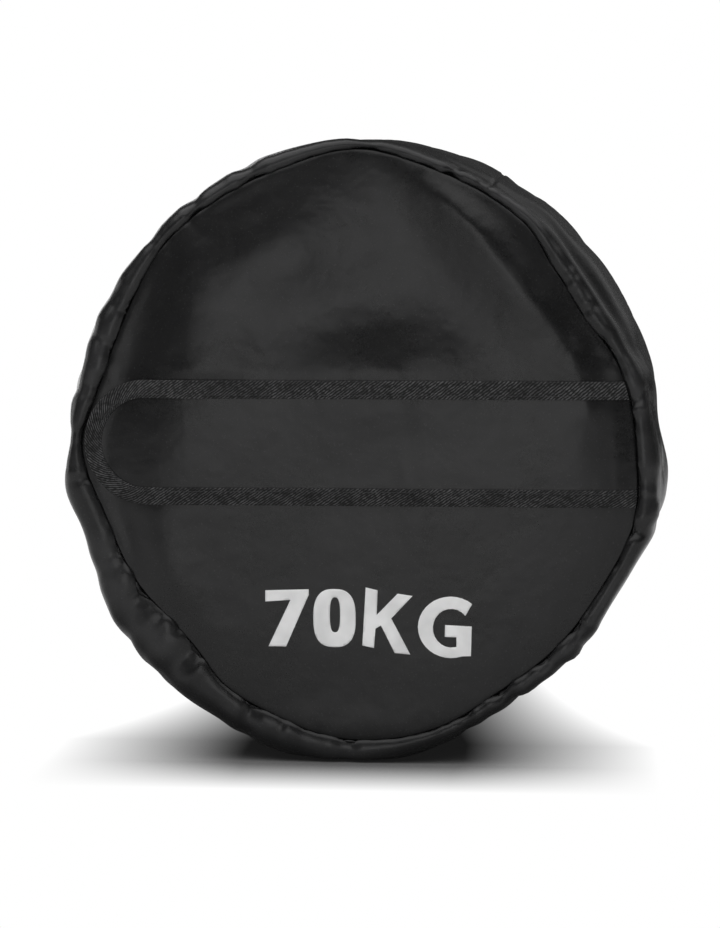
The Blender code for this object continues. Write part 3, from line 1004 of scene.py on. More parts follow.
@dataclass(frozen=True)
class TwillTape(Finish):
    """Black binding tape with slanting ribs, with painted highlights on the rib crests, painted shade in
    between and painted patches of light.
    """

    name: str = "twill_tape"
    # Colours of the rib valleys (painted shade) and of the rib crests (painted highlight)
    valley_shade: Colour = (0.008, 0.008, 0.008)
    rib: Colour = (0.112, 0.112, 0.114)
    pitch: float = 0.0025
    thread: float = 0.0006

    def wire(self) -> None:
        """Wire the finish into a new material."""
        graph = Graph(self.name)
        along, across = graph.flat_place()
        wavy = graph.sum("MULTIPLY_ADD", graph.noise(0.004), 0.0022, along)
        # Painted highlight on each rib crest and painted shade in each valley, broken up by painted glint
        # strokes and painted patches of light.
        ribs = graph.between(graph.wave(wavy, self.pitch), 0.0, 1.0, -0.5, 1.0)
        painted_glint_strokes = graph.between(graph.noise(0.0022), 0.25, 1.25, 0.36, 0.64)
        painted_light_patches = graph.between(graph.noise(0.024, 3.0), 0.62, 1.0, 0.38, 0.62)
        share = graph.sum("MULTIPLY", ribs, graph.sum("MULTIPLY", painted_glint_strokes, painted_light_patches))
        fibre = graph.noise(0.0008, 3.0, 0.6)
        graph.dress({
            "Base Color": graph.mixed(share, self.valley_shade, self.rib),
            "Roughness": graph.between(fibre, 0.55, 0.80, 0.3, 0.7),
            "Sheen Weight": 0.03,
            "Specular IOR Level": 0.10,
        })
        threads = graph.wave(graph.sum("ADD", along, across), self.thread)
        graph.bump(((fibre, 0.6), (threads, 0.2)), 0.00008, 0.8)


@dataclass(frozen=True)
class PlainCloth(Finish):
    """Uncoated woven cloth, for the lining, the sleeve and the tapes inside the bag."""

    name: str = "lining_cloth"
    dark: Colour = (0.020, 0.020, 0.022)
    pale: Colour = (0.038, 0.038, 0.041)
    yarn: float = 0.0009

    def wire(self) -> None:
        """Wire the finish into a new material."""
        graph = Graph(self.name)
        cloud = graph.noise(0.030, 3.0)
        graph.dress({
            "Base Color": graph.mixed(graph.between(cloud, 0.0, 1.0, 0.35, 0.65), self.dark, self.pale),
            "Roughness": graph.between(cloud, 0.66, 0.80),
            "Sheen Weight": 0.15,
        })
        graph.bump(((graph.weave(self.yarn), 0.5),), 0.00008, 0.7)


@dataclass(frozen=True)
class FastenerPile(Finish):
    """Woven hooks or brushed loops of a fastener strip."""

    size: float
    tip: Colour
    root: Colour = (0.004, 0.004, 0.005)

    def wire(self) -> None:
        """Wire the finish into a new material."""
        graph = Graph(self.name)
        inputs = {"Vector": graph.place(), "Scale": 1.0 / self.size}
        tufts = graph.node("ShaderNodeTexVoronoi", inputs).outputs["Distance"]
        fuzz = graph.noise(self.size, 4.0, 0.7)
        graph.dress({
            "Base Color": graph.mixed(graph.between(tufts, 1.0, 0.0, 0.0, 0.8), self.root, self.tip),
            "Roughness": graph.between(fuzz, 0.70, 0.95),
            "Sheen Weight": 0.35,
        })
        graph.bump(((tufts, -0.7), (fuzz, 1.0)), 0.0004, 0.8)


@dataclass(frozen=True)
class SilverFilm(Finish):
    """Silver-grey film pressed onto the cloth."""

    name: str = "silver_film"
    dark: Colour = (0.74, 0.74, 0.74)
    pale: Colour = (0.88, 0.88, 0.88)
    yarn: float = 0.0011

    def wire(self) -> None:
        """Wire the finish into a new material."""
        graph = Graph(self.name)
        cloud = graph.between(graph.noise(0.018, 2.0), 0.0, 1.0, 0.35, 0.65)
        grain = graph.noise(0.0007, 3.0, 0.6)
        graph.dress({
            "Base Color": graph.mixed(cloud, self.dark, self.pale),
            "Roughness": graph.between(grain, 0.42, 0.55),
            "Metallic": 0.15,
        })
        graph.bump(((graph.weave(self.yarn), 0.4), (grain, 1.0)), 0.00004, 0.6)


@dataclass(frozen=True)
class Sand(Finish):
    """Fine dry sand."""

    name: str = "dry_sand"
    dark: Colour = (0.42, 0.33, 0.21)
    pale: Colour = (0.62, 0.51, 0.36)

    def wire(self) -> None:
        """Wire the finish into a new material."""
        graph = Graph(self.name)
        grain = graph.noise(0.0012, 4.0, 0.7)
        share = graph.between(graph.sum("MULTIPLY", grain, graph.noise(0.040, 2.0)), 0.0, 1.0, 0.1, 0.4)
        graph.dress({
            "Base Color": graph.mixed(share, self.dark, self.pale),
            "Roughness": graph.between(grain, 0.85, 1.0),
        })
        graph.bump(((grain, 1.0),), 0.0006, 0.8)


@dataclass(frozen=True)
class Thread(Finish):
    """Polyester sewing thread."""

    name: str = "sewing_thread"
    dark: Colour = (0.012, 0.012, 0.013)
    pale: Colour = (0.034, 0.034, 0.036)

    def wire(self) -> None:
        """Wire the finish into a new material."""
        graph = Graph(self.name)
        fibre = graph.noise(0.0004, 2.0, 0.6)
        graph.dress({
            "Base Color": graph.mixed(graph.between(fibre, 0.0, 1.0, 0.3, 0.7), self.dark, self.pale),
            "Roughness": graph.between(fibre, 0.45, 0.65),
        })
        graph.bump(((fibre, 1.0),), 0.00005, 0.6)


@dataclass(frozen=True)
class WhiteFloor(Finish):
    """Floor that is white to the camera, with a painted soft shadow round the bag over the lamps' real one.

    Args:
        name: Name of the material.
        middle: Where the middle of the painted shadow lies along X.
        beside: Where the painted shadow starts and stops to fade, from its middle.
        painted_shadow_ahead: The same in front of and behind the bag's ends.
        under: Where the painted shade of the floor that the bag reflects starts and stops, from the middle.
        least_glow: Glow in the darkest part of the painted shadow.
    """

    name: str = "white_floor"
    middle: float = -0.006
    beside: tuple[float, float] = (0.065, 0.190)
    painted_shadow_ahead: tuple[float, float] = (0.004, 0.082)
    under: tuple[float, float] = (0.10, 0.48)
    least_glow: float = 0.009

    def wire(self) -> None:
        """Wire the finish into a new material."""
        graph = Graph(self.name)
        x, y = graph.parts(graph.place())
        past = graph.sum("SUBTRACT", graph.sum("ABSOLUTE", y), FORM.length / 2)
        # The painted shadow narrows towards the rear end.
        narrowed = graph.between(y, 1.0, 1.8, -0.15, 0.14)
        off = graph.sum("ABSOLUTE", graph.sum("SUBTRACT", x, self.middle))
        aside = graph.sum("MULTIPLY", off, narrowed)
        painted_shadow_ahead = graph.between(past, 1.0, 0.0, *self.painted_shadow_ahead)
        # Painted shadow: a mask set by place alone, full near the bag and fading beside it and past its
        # ends; far is the glow share outside it.
        near = graph.sum("MULTIPLY", graph.between(aside, 1.0, 0.0, *self.beside), painted_shadow_ahead)
        far = graph.sum("POWER", graph.sum("SUBTRACT", 1.0, near), 1.4)
        seen = graph.node("ShaderNodeLightPath").outputs["Is Camera Ray"]
        open_sky = graph.node("ShaderNodeAmbientOcclusion", {"Distance": 0.8}, samples=8).outputs["AO"]
        # Painted shadow: to the camera, the floor's colour darkens with the occlusion near the bag.
        painted_occlusion_shade = graph.sum("MULTIPLY_ADD", graph.sum("POWER", open_sky, 1.9), 0.50, 0.012)
        # Painted shade: to all rays but the camera's, the floor is darker beside the bag, so the bag's lower
        # rim reflects a dark floor.
        painted_reflection_shade = graph.sum("MULTIPLY", graph.between(aside, 1.0, 0.0, *self.under), painted_shadow_ahead)
        reflected_tone_with_painted_shade = graph.sum("MULTIPLY_ADD", painted_reflection_shade, -0.66, 0.86)
        tone = graph.sum("MULTIPLY_ADD", seen, graph.sum("SUBTRACT", painted_occlusion_shade, reflected_tone_with_painted_shade), reflected_tone_with_painted_shade)
        graph.dress({
            "Base Color": graph.node("ShaderNodeCombineColor", {0: tone, 1: tone, 2: tone}).outputs["Color"],
            "Roughness": graph.between(graph.noise(0.3), 0.90, 0.95),
            "Specular IOR Level": 0.0,
        })
        glow = graph.node("ShaderNodeEmission", {"Color": (1.0, 1.0, 1.0), "Strength": 1.0}).outputs[0]
        # The white glow is held back inside the painted shadow, down to least_glow.
        share = graph.sum("MULTIPLY", graph.sum("MAXIMUM", far, self.least_glow), seen)
        inputs = {0: share, 1: graph.shader.outputs[0], 2: glow}
        surface = graph.node("ShaderNodeMixShader", inputs).outputs[0]
        graph.feed(graph.tree.nodes["Material Output"].inputs["Surface"], surface)


NYLON = CoatedNylon()
TWILL = TwillTape()
LINING = PlainCloth()
SLEEVE_CLOTH = PlainCloth("sleeve_cloth", (0.024, 0.024, 0.026), (0.046, 0.046, 0.050), 0.0010)
SEAM_TAPE = PlainCloth("seam_tape_cloth", (0.018, 0.018, 0.020), (0.034, 0.034, 0.036), 0.0012)
HOOKS = FastenerPile("hook_pile", 0.0011, (0.016, 0.016, 0.017))
LOOPS = FastenerPile("loop_pile", 0.0016, (0.010, 0.010, 0.011))


@dataclass
class Shell:
    """Side panel and round ends."""

    form: BagForm = FORM
    side_steps: int = 470
    end_steps: int = 480
    barrel_start: float = 0.030
    barrel_rise: float = 0.060
    slack_start: float = -0.001
    slack_rise: float = 0.012
    pucker_reach: float = 0.014
    rub_and_sheen_place: float = 0.017
    rub_and_sheen_width: float = 0.004
    crease_rise: float = 0.002
    pucker_rise: float = 0.003
    seam_line_width: float = 0.0011
    seam_line_depth: float = 0.0014
    seam_line_rise: float = 0.030
    seam_pull_width: float = 0.010
    seam_pull_share: float = 0.30
    slit_half_width: float = 0.1253
    slit_half_height: float = 0.00305
    cut_room: float = 0.006

    def build(self) -> None:
        """Make every piece of the shell."""
        self.side_cover()
        self.end_cover(End.FRONT)
        self.end_cover(End.REAR)

    def section_places(self, skipped: float = -1.0) -> np.ndarray:
        """Places along the side's section, counted in spots.

        Args:
            skipped: How many spots are left out at both of its ends.

        Returns:
            The places.
        """
        half = [0.0]
        for index, steps in enumerate(SPOT_STEPS):
            half += [index + (k + 1) / steps for k in range(steps)]
        last = 2 * len(SPOT_STEPS)
        places = np.array(half + [last - place for place in reversed(half[:-1])])
        return places[(places > skipped) & (places < last - skipped)]

    def side_points(self, angles: np.ndarray, places: np.ndarray, folds: bool = True) -> np.ndarray:
        """Outer side of the side panel.

        Args:
            angles: Angles of the columns.
            places: Places of the rows along the section, counted in spots.
            folds: Whether the small folds are in it.

        Returns:
            The points, in rows and columns.
        """
        depths, radii = self.form.side_spots(angles)
        depth = through(depths, places)
        radius = through(radii, places)
        middle = 1.0
        slack = 1.0
        for gone in (depth, self.form.length - depth):
            middle = middle * np.clip((gone - self.barrel_start) / self.barrel_rise, 0, 1)
            slack = slack * smooth_step((gone - self.slack_start) / self.slack_rise)
        turn = angles / TURN
        slow = depth * 2.2
        bulge = ripple(turn + 0.05 * slow, BULGE_WAVES)
        bulge += ripple(slow + 0.5 * np.sin(3 * angles), LONG_WAVES)
        drift = turn + 0.03 * np.sin(depth * 22.0 + 2.0 * np.sin(2 * angles))
        radius = radius + middle * bulge + slack * ripple(drift, SLACK_WAVES)
        x, z = self.form.around(radius, angles)
        points = joined(x, self.form.front + depth, z)
        if not folds:
            return points
        normal = normals_of(points)
        if (normal * self.outward(points)).sum() < 0:
            normal = -normal
        return points - normal * self.side_sink(points, depth, radius, angles)[..., None]

    def outward(self, points: np.ndarray) -> np.ndarray:
        """Direction away from the bag's axis at each point."""
        away = (points - (0.0, 0.0, self.form.axis_height)) * (1.0, 0.0, 1.0)
        return away / np.linalg.norm(away, axis=2, keepdims=True)

    def side_sink(
        self, points: np.ndarray, depth: np.ndarray, radius: np.ndarray, angles: np.ndarray
    ) -> np.ndarray:
        """How deep the small folds, the puckers and the lengthwise seam of the side panel are.

        Args:
            points: Points of the side without them.
            depth: Their depths behind the front end's plane.
            radius: Their distances from the axis.
            angles: Angles of the columns.

        Returns:
            The depth at each point.
        """
        steps = np.linalg.norm(np.diff(points, axis=0), axis=2)
        from_front = np.concatenate([np.zeros((1, points.shape[1])), np.cumsum(steps, axis=0)])
        from_rear = from_front[-1:] - from_front
        total = np.zeros_like(depth)
        for way, creases in ((from_front, FRONT_CREASES), (from_rear, REAR_CREASES)):
            gone = way - self.form.allowance
            for crease in creases:
                along = gone / crease.reach
                window = smooth_step(gone / self.crease_rise) * np.clip(1.0 - along, 0.0, 1.0) ** 1.2
                off = (angle_from(angles, crease.angle) * radius - crease.skew * along) / crease.width
                total += crease.depth * window * groove(off, *CREASE_BANK)
            pucker = ripple(angles / TURN, PUCKER_WAVES) * smooth_step(gone / self.pucker_rise)
            total += pucker * bell(gone / self.pucker_reach)
        off = angle_from(angles, self.form.side_seam) * radius
        wobble = ripple(depth, SEAM_WAVES)
        seam = bell((off - 0.2 * wobble) / self.seam_line_width) * self.seam_line_depth
        seam += bell(off / self.seam_pull_width) * wobble * self.seam_pull_share
        return total + seam * smooth_step(np.minimum(from_front, from_rear) / self.seam_line_rise)

    def side_cover(self) -> None:
        """Long panel of fabric round the bag, rolled over both end seams."""
        seam_mark = Crease(self.form.side_seam)
        angles = spread_angles(self.side_steps, FRONT_CREASES + (seam_mark, seam_mark))
        points = self.side_points(angles, self.section_places())
        points[..., 2] = lift_off(points[..., 2], self.form.floor_softness)
        along = lengths(np.linalg.norm(np.diff(points, axis=0), axis=2).mean(axis=1))
        # The rim's crest is painted lighter round the bag in patches: partly wear, partly painted sheen.
        crest = bell((np.minimum(along, along[-1] - along) - self.rub_and_sheen_place) / self.rub_and_sheen_width)
        patchy = 0.5 + 0.5 * ripple(angles / TURN, RUB_AND_SHEEN_WAVES)
        rub_and_sheen = crest[:, None] * np.clip(patchy, 0, 1)
        cover = ClothGrid("side_cover", points, flat_grid(angles * self.form.body_size, along), rub_and_sheen)
        piece = cover.build(lambda at: Vector((at.x, 0.0, at.z - self.form.axis_height)))
        thicken(piece, self.form.fabric)
        finished(piece, NYLON, "shell", ["side_panel"])

    def end_points(self, angles: np.ndarray, end: End) -> np.ndarray:
        """Outer side of a round end, with its turned-in edge.

        Args:
            angles: Angles of the columns.
            end: Which end.

        Returns:
            The points, in rows and columns.
        """
        inner = np.linspace(0.0, 1.0, 64) ** 0.9
        seam = self.form.seam(angles)
        rows = [share * (seam - self.form.rim_room) for share in inner] + [seam - gap for gap in END_ROWS]
        x, z = self.form.around(np.array(rows), angles)
        depth = self.form.end_depth(x, z, end)
        edge = np.full((1, len(angles)), self.form.turned)
        depth = np.concatenate([depth, (depth[-1:] + edge) / 2, edge])
        x, z = (np.concatenate([place, place[-1:], place[-1:]]) for place in (x, z))
        y = self.form.front + depth
        return joined(x, y if end is End.FRONT else -y, z)

    def end_cover(self, end: End) -> None:
        """Round end of the bag; the front one has the filling slit.

        Args:
            end: Which end.
        """
        front = end is End.FRONT
        angles = spread_angles(self.end_steps, FRONT_TUCKS if front else REAR_TUCKS)
        points = self.end_points(angles, end)
        flat = points[..., ::2].copy()
        points[..., 2] = lift_off(points[..., 2], self.form.floor_softness / 2)
        cover = ClothGrid(f"{end.value}_cover", points, flat)
        piece = cover.build(to_front, self.cut_slit) if front else cover.build(lambda at: -to_front(at))
        thicken(piece, self.form.fabric)
        finished(piece, NYLON, "shell", [f"{end.value}_end_panel"])

    def in_slit(self, face: bmesh.types.BMFace, room: float) -> bool:
        """Whether a face's middle is in the filling slit, or in a room all round it.

        Args:
            face: The face.
            room: How wide the room is.

        Returns:
            True if it is.
        """
        at = face.calc_center_median()
        beside = abs(at.x - self.form.slit_middle) < self.slit_half_width + room
        return beside and abs(at.z - self.form.flap_height) < self.slit_half_height + room

    def cut_slit(self, bm: bmesh.types.BMesh) -> None:
        """Cut the filling slit out of a sheet.

        Args:
            bm: The sheet under work.
        """
        form = self.form
        cuts = (
            (Vector((0, 0, 1)), form.flap_height, self.slit_half_height),
            (Vector((1, 0, 0)), form.slit_middle, self.slit_half_width),
        )
        for way, middle, half in cuts:
            for place in (middle - half, middle + half):
                near = [face for face in bm.faces if self.in_slit(face, self.cut_room)]
                parts = dict.fromkeys(part for face in near for part in (*face.verts, *face.edges, face))
                at = way * place
                bmesh.ops.bisect_plane(bm, geom=list(parts), dist=1e-5, plane_co=at, plane_no=way)
        inside = [face for face in bm.faces if self.in_slit(face, 0.0)]
        bmesh.ops.delete(bm, geom=inside, context="FACES")


def thread_tube(name: str, line: np.ndarray, radius: float, sides: int = 6) -> bpy.types.Object:
    """Thread of one thickness along a line.

    Args:
        name: Name of the piece.
        line: Points of its middle line.
        radius: Half of its thickness.
        sides: How many sides it has.

    Returns:
        The new object.
    """
    along = np.gradient(line, axis=0)
    along /= np.linalg.norm(along, axis=1, keepdims=True)
    first = np.cross(along, np.array([0.0, 1.0, 0.0]))
    first /= np.linalg.norm(first, axis=1, keepdims=True)
    second = np.cross(along, first)
    turn = np.linspace(0.0, TURN, sides + 1)
    ring = first[:, None] * np.cos(turn)[None, :, None] + second[:, None] * np.sin(turn)[None, :, None]
    gone = lengths(np.linalg.norm(np.diff(line, axis=0), axis=1))
    flat = flat_grid(turn * radius, gone)
    return ClothGrid(name, line[:, None] + radius * ring, flat, closed=True).build()


@dataclass
class Flap:
    """Cover flap with its lining, its folded tape and its stitches.

    The tape's section has spots at a level of 1 on its outer side and of 0 on its inner side. Two more
    levels lie inside the fold: on its under layer, and under its upper layer.
    """

    form: BagForm = FORM
    hinge: float = 0.14998
    tip_centre: float = -0.13264
    tape_width: float = 0.011
    tape: float = 0.0006
    cloth: float = 0.0008
    lining: float = 0.0006
    inset: float = 0.0009
    gap: float = 0.0001
    floor_gap: float = 0.0003
    stack_middle: float = 0.0046
    stack_edge: float = 0.0026
    stack_end: float = 0.0020
    end_gap: float = 0.0006
    end_fall: float = 0.014
    dip_share: float = 0.4
    bend_reach: float = 0.011
    rib_pitch: float = 0.0025
    rib_slant: float = 1.45
    rib_height: float = 0.00022
    rib_edge: float = 0.0012
    on_under_layer: float = -1.0
    under_upper_layer: float = -2.0
    stitch_pitch: float = 0.0032
    stitch_inset: float = 0.0022
    stitch_height: float = 0.00022
    thread_radius: float = 0.00017
    lining_room: float = 0.0002
    fold_width: float = 0.001

    def build(self) -> None:
        """Make every piece of the flap."""
        self.cover()
        self.lining_cloth()
        self.tape_round_edge()
        self.stitches()

    def stack(self, x: np.ndarray, z: np.ndarray) -> np.ndarray:
        """Height of the flap's outer side above the round end.

        Args:
            x: Places along X.
            z: Heights above the floor.

        Returns:
            The height at each place.
        """
        up = z - self.form.flap_height
        out = np.where(x < self.tip_centre, np.hypot(x - self.tip_centre, up), np.abs(up))
        middle = smooth_step((self.form.flap_half - out) / self.tape_width)
        height = self.stack_edge + (self.stack_middle - self.stack_edge) * middle
        near = np.where(x > 0, smooth_step(self.form.inside_seam(x, z) / self.end_fall), 1.0)
        return self.stack_end + (height - self.stack_end) * near

    def in_front(self, x: np.ndarray, z: np.ndarray, height: np.ndarray) -> np.ndarray:
        """Places along Y at a height above the round end.

        Args:
            x: Places along X.
            z: Heights above the floor.
            height: Distances in front of the round end.

        Returns:
            The places.
        """
        follow = np.where(x > 0, 1.0, self.dip_share)
        return self.form.front + (self.form.dip(x, z) * follow - self.form.swell(x, z) - height)

    def end_x(self, up: np.ndarray) -> np.ndarray:
        """Where the flap ends in the seam.

        Args:
            up: Heights above the flap's middle line.

        Returns:
            The place along X at each height.
        """
        rows = np.linspace(-0.045, 0.045, 19)
        ends = [self.form.seam_reach(self.form.flap_height + row) for row in rows]
        return np.interp(up, rows, ends) - self.end_gap

    def layer(self, name: str, right: float | None, drop: float) -> bpy.types.Object:
        """One cloth layer of the flap, round at its free end.

        Args:
            name: Name of the piece.
            right: Where it ends along X, or None for the seam.
            drop: How far its outer side lies under the flap's outer side.

        Returns:
            The new object.
        """
        radius = self.form.flap_half - self.inset
        turn = np.linspace(-math.pi / 2, math.pi / 2, 61)[:, None]
        up = radius * np.sin(turn)
        left = self.tip_centre - radius * np.cos(turn)
        end = self.end_x(up) if right is None else right
        x = left + (end - left) * np.linspace(0.0, 1.0, 241)
        z = self.form.flap_height + up
        return ClothGrid(name, joined(x, self.in_front(x, z, self.stack(x, z) - drop), z)).build()

    def bend(self, piece: bpy.types.Object) -> None:
        """Bake a piece's place into its mesh, leaving it unattached between the shell and the free flap.

        Args:
            piece: The piece.
        """
        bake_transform(piece)

    def cover(self) -> None:
        """Outer cloth, from the free end into the seam."""
        piece = self.layer("flap_cover", None, 0.0)
        thicken(piece, self.cloth)
        finished(piece, NYLON, None, ["flap_outer", "flap_anchor"])
        self.bend(piece)

    def lining_cloth(self) -> None:
        """Lining behind the free part of the flap."""
        piece = self.layer("flap_lining_cloth", self.hinge - self.lining_room, self.cloth + self.gap)
        thicken(piece, self.lining)
        finished(piece, LINING, None, ["flap_lining"])
        self.bend(piece)

    def run(self) -> tuple[np.ndarray, np.ndarray]:
        """Shares of the tape's three stretches: upper edge, round end and lower edge.

        Returns:
            The stretch of each step, counted from 0 to 3, and its distance from the start.
        """
        straight = float(self.end_x(np.array(self.form.flap_half))) - self.tip_centre
        arc = math.pi * self.form.flap_half
        spots = [np.linspace(k, k + 1, count, endpoint=k == 2) for k, count in enumerate((600, 260, 600))]
        share = np.concatenate(spots)
        distance = np.interp(share, [0, 1, 2, 3], [0, straight, straight + arc, 2 * straight + arc])
        return share, distance

    def on_edge(self, share: np.ndarray, inset: float) -> tuple[np.ndarray, np.ndarray]:
        """Places along the flap's edge, moved inwards.

        Args:
            share: Stretch and share of the edge, from 0 to 3.
            inset: Distance from the edge.

        Returns:
            X and Z of the places.
        """
        out = self.form.flap_half - inset
        turn = np.clip(share - 1.0, 0.0, 1.0) * math.pi
        up = out * np.cos(turn)
        straight = np.clip(np.where(share < 1.0, 1.0 - share, share - 2.0), 0.0, 1.0)
        x = self.tip_centre - out * np.sin(turn) + straight * (self.end_x(up) - self.tip_centre)
        return x, self.form.flap_height + up

    def tape_section(self) -> list[tuple[float, float]]:
        """Section of the folded tape, from its outer layer's inner edge round the fold and back.

        Returns:
            Distance from the flap's edge and level of each spot.
        """
        width = self.tape_width
        outer = [(inset, 1.0) for inset in np.linspace(width, 0.0006, 19)]
        fold = [(0.0001, 0.75), (0.0, 0.40), (0.0001, 0.12), (0.0006, 0.0)]
        under = [(width * k / 4, 0.0) for k in (1, 2, 3, 4)]
        inner = [(inset, self.on_under_layer) for inset in (width, width / 2, 0.0010)]
        back = [(inset, self.under_upper_layer) for inset in (0.0010, width / 2, width)]
        return outer + fold + under + inner + back + outer[:1]

    def tape_round_edge(self) -> None:
        """Twill tape folded over the flap's edge, with slanting ribs on its outer side."""
        share, distance = self.run()
        section = self.tape_section()
        corners = []
        across = 0.0
        before = section[0]
        for inset, level in section:
            x, z = self.on_edge(share, inset)
            top = self.stack(x, z)
            height = self.floor_gap + (top + self.gap + self.tape - self.floor_gap) * level
            if level == self.on_under_layer:
                height = self.floor_gap + self.tape
            if level == self.under_upper_layer:
                height = top + self.gap
            slanted = distance - inset * self.rib_slant
            if level == 1.0:
                from_edges = np.array([inset, self.tape_width - inset]) / self.rib_edge
                rib = self.rib_height * np.prod(smooth_step(from_edges))
                height = height + rib * np.sin(TURN * slanted / self.rib_pitch)
            across += abs(inset - before[0]) + abs(level - before[1]) * self.fold_width
            before = (inset, level)
            corners.append((x, self.in_front(x, z, height), z, slanted, across))
        piece = ClothGrid.swept("flap_tape", corners).build()
        names = ["flap_binding", "flap_anchor_tape_upper", "flap_anchor_tape_lower"]
        finished(piece, TWILL, None, names)
        self.bend(piece)

    def stitches(self) -> None:
        """Row of stitches along the tape's inner edge."""
        share, distance = self.run()
        x, z = self.on_edge(share, self.tape_width - self.stitch_inset)
        above = np.clip(np.sin(TURN * distance / self.stitch_pitch) + 0.35, -0.9, 0.45)
        height = self.stack(x, z) + self.gap + self.tape + self.stitch_height * above
        line = joined(x, self.in_front(x, z, height), z)
        piece = thread_tube("flap_tape_stitches", line, self.thread_radius)
        finished(piece, Thread(), None)
        self.bend(piece)


@dataclass
class Fasteners:
    """Hook and loop strips of the round end and of the flap."""

    form: BagForm = FORM
    start: float = -0.12914
    end: float = 0.13998
    spread: float = 0.0165
    width: float = 0.020
    thickness: float = 0.0010
    loop_height: float = 0.0003
    hook_height: float = 0.0016
    tuft: float = 0.00014
    tuft_pitch: float = 0.0031
    row_pitch: float = 0.0029
    plain_edge: float = 0.0012
    spot_width: float = 0.0008

    def build(self) -> None:
        """Make the strips above and below the slit."""
        for side, label in ((1, "upper"), (-1, "lower")):
            loop = self.strip(f"loop_pile_{label}", side, Pile.LOOP)
            finished(loop, LOOPS, "shell", [f"loop_strip_{label}"])
            hook = self.strip(f"hook_pile_{label}", side, Pile.HOOK)
            finished(hook, HOOKS, "flap", [f"flap_hook_strip_{label}"])

    def strip(self, name: str, side: int, pile: Pile) -> bpy.types.Object:
        """One strip beside the slit, with its tufts.

        Args:
            name: Name of the piece.
            side: 1 above the slit, -1 below it.
            pile: Hooks, which face the round end, or loops, which face the flap.

        Returns:
            The new object.
        """
        x = np.linspace(self.start, self.end, 361)
        half = self.width / 2
        spots = np.linspace(-half, half, 27)
        low, facing = (self.loop_height, 1) if pile is Pile.LOOP else (self.hook_height, -1)
        section = [(spot, 1) for spot in spots] + [(spot, 0) for spot in spots[::-6]]
        corners = []
        for index, (up, level) in enumerate(section + section[:1]):
            z = np.full_like(x, self.form.flap_height + side * self.spread + up)
            inner = min(half - abs(up), self.plain_edge) / self.plain_edge
            rows = math.sin(up * TURN / self.row_pitch) * inner
            shift = 1.7 * math.sin(up * 1900)
            tuft = self.tuft * (np.sin(TURN * x / self.tuft_pitch + shift) * rows - 1)
            base = self.thickness * (level if facing > 0 else 1 - level)
            height = low + np.clip(base + tuft * facing * level, 0.0, self.thickness)
            y = self.form.front - self.form.swell(x, z) - height
            corners.append((x, y, z, x, index * self.spot_width))
        return ClothGrid.swept(name, corners).build()


@dataclass
class FillerSleeve:
    """Flat sleeve that the sand is poured through, with its closure."""

    form: BagForm = FORM
    width: float = 0.250
    height: float = 0.0055
    corner: float = 0.0022
    wall: float = 0.0008
    depth: float = 0.100
    proud: float = 0.0008
    closure_depth: float = 0.020
    gap: float = 0.0003
    side_room: float = 0.0012
    tuft: float = 0.00010
    tuft_pitch: float = 0.0031
    spot_width: float = 0.0012

    def build(self) -> None:
        """Make the sleeve and its closure."""
        self.tube()
        self.closure(Pile.HOOK, 1)
        self.closure(Pile.LOOP, -1)

    def mouth(self, x: np.ndarray) -> np.ndarray:
        """Place of the sleeve's mouth along Y."""
        swell = self.form.swell(x, np.full_like(x, self.form.flap_height))
        return self.form.front - self.proud - swell

    def ring(self) -> tuple[np.ndarray, np.ndarray]:
        """Outline of the sleeve, from its lower left corner round to the same place.

        Returns:
            X and Z of its points.
        """
        tall = self.height / 2
        straight = self.width / 2 - self.corner
        turns = np.linspace(0.0, math.pi / 2, 6)
        half = [(at, -tall) for at in np.linspace(-straight, straight, 61)]
        for turn in turns[1:]:
            half.append((straight + self.corner * math.sin(turn), self.corner * (1 - math.cos(turn)) - tall))
        for turn in turns:
            half.append((straight + self.corner * math.cos(turn), tall - self.corner * (1 - math.sin(turn))))
        x, up = np.array(half + [(-at, -up) for at, up in half[1:]]).T
        return self.form.slit_middle + x, self.form.flap_height + up

    def tube(self) -> None:
        """The sleeve, open at both ends."""
        x, z = self.ring()
        start = self.mouth(x)
        share = np.linspace(0.0, 1.0, 41)[:, None]
        y = start + (self.form.front + self.depth - start) * share
        around = lengths(np.hypot(np.diff(x), np.diff(z)))
        grid = ClothGrid("sleeve_tube", joined(x, y, z), joined(around, y))
        middle = Vector((self.form.slit_middle, 0, self.form.flap_height))
        piece = grid.build(lambda at: (at - middle) * Vector((1, 0, 40)))
        thicken(piece, self.wall)
        finished(piece, SLEEVE_CLOTH, "sleeve", ["filler_sleeve"])

    def closure(self, pile: Pile, side: int) -> None:
        """Strip on one inner wall of the sleeve's mouth.

        Args:
            pile: Hooks or loops.
            side: 1 on the upper wall, -1 on the lower one.
        """
        half = self.width / 2 - self.wall - self.gap - self.side_room
        x = np.linspace(self.form.slit_middle - half, self.form.slit_middle + half, 201)
        low = self.gap / 2
        high = self.height / 2 - self.wall - self.gap
        mouth = self.mouth(x)
        section = [(k / 16, 0) for k in range(17)] + [(1.0, 1), (0.5, 1), (0.0, 1), (0.0, 0)]
        corners = []
        for index, (along, level) in enumerate(section):
            pattern = 1 + np.sin(TURN * x / self.tuft_pitch) * math.sin(along * 41.0)
            tuft = self.tuft * (1 - level) * pattern
            z = self.form.flap_height + side * (low + tuft + (high - low) * level)
            y = mouth + self.gap + self.closure_depth * along
            corners.append((x, y, z, x, index * self.spot_width))
        piece = ClothGrid.swept(f"sleeve_{pile.value}_pile", corners).build()
        finish = HOOKS if pile is Pile.HOOK else LOOPS
        finished(piece, finish, "sleeve", [f"sleeve_{pile.value}_strip"])


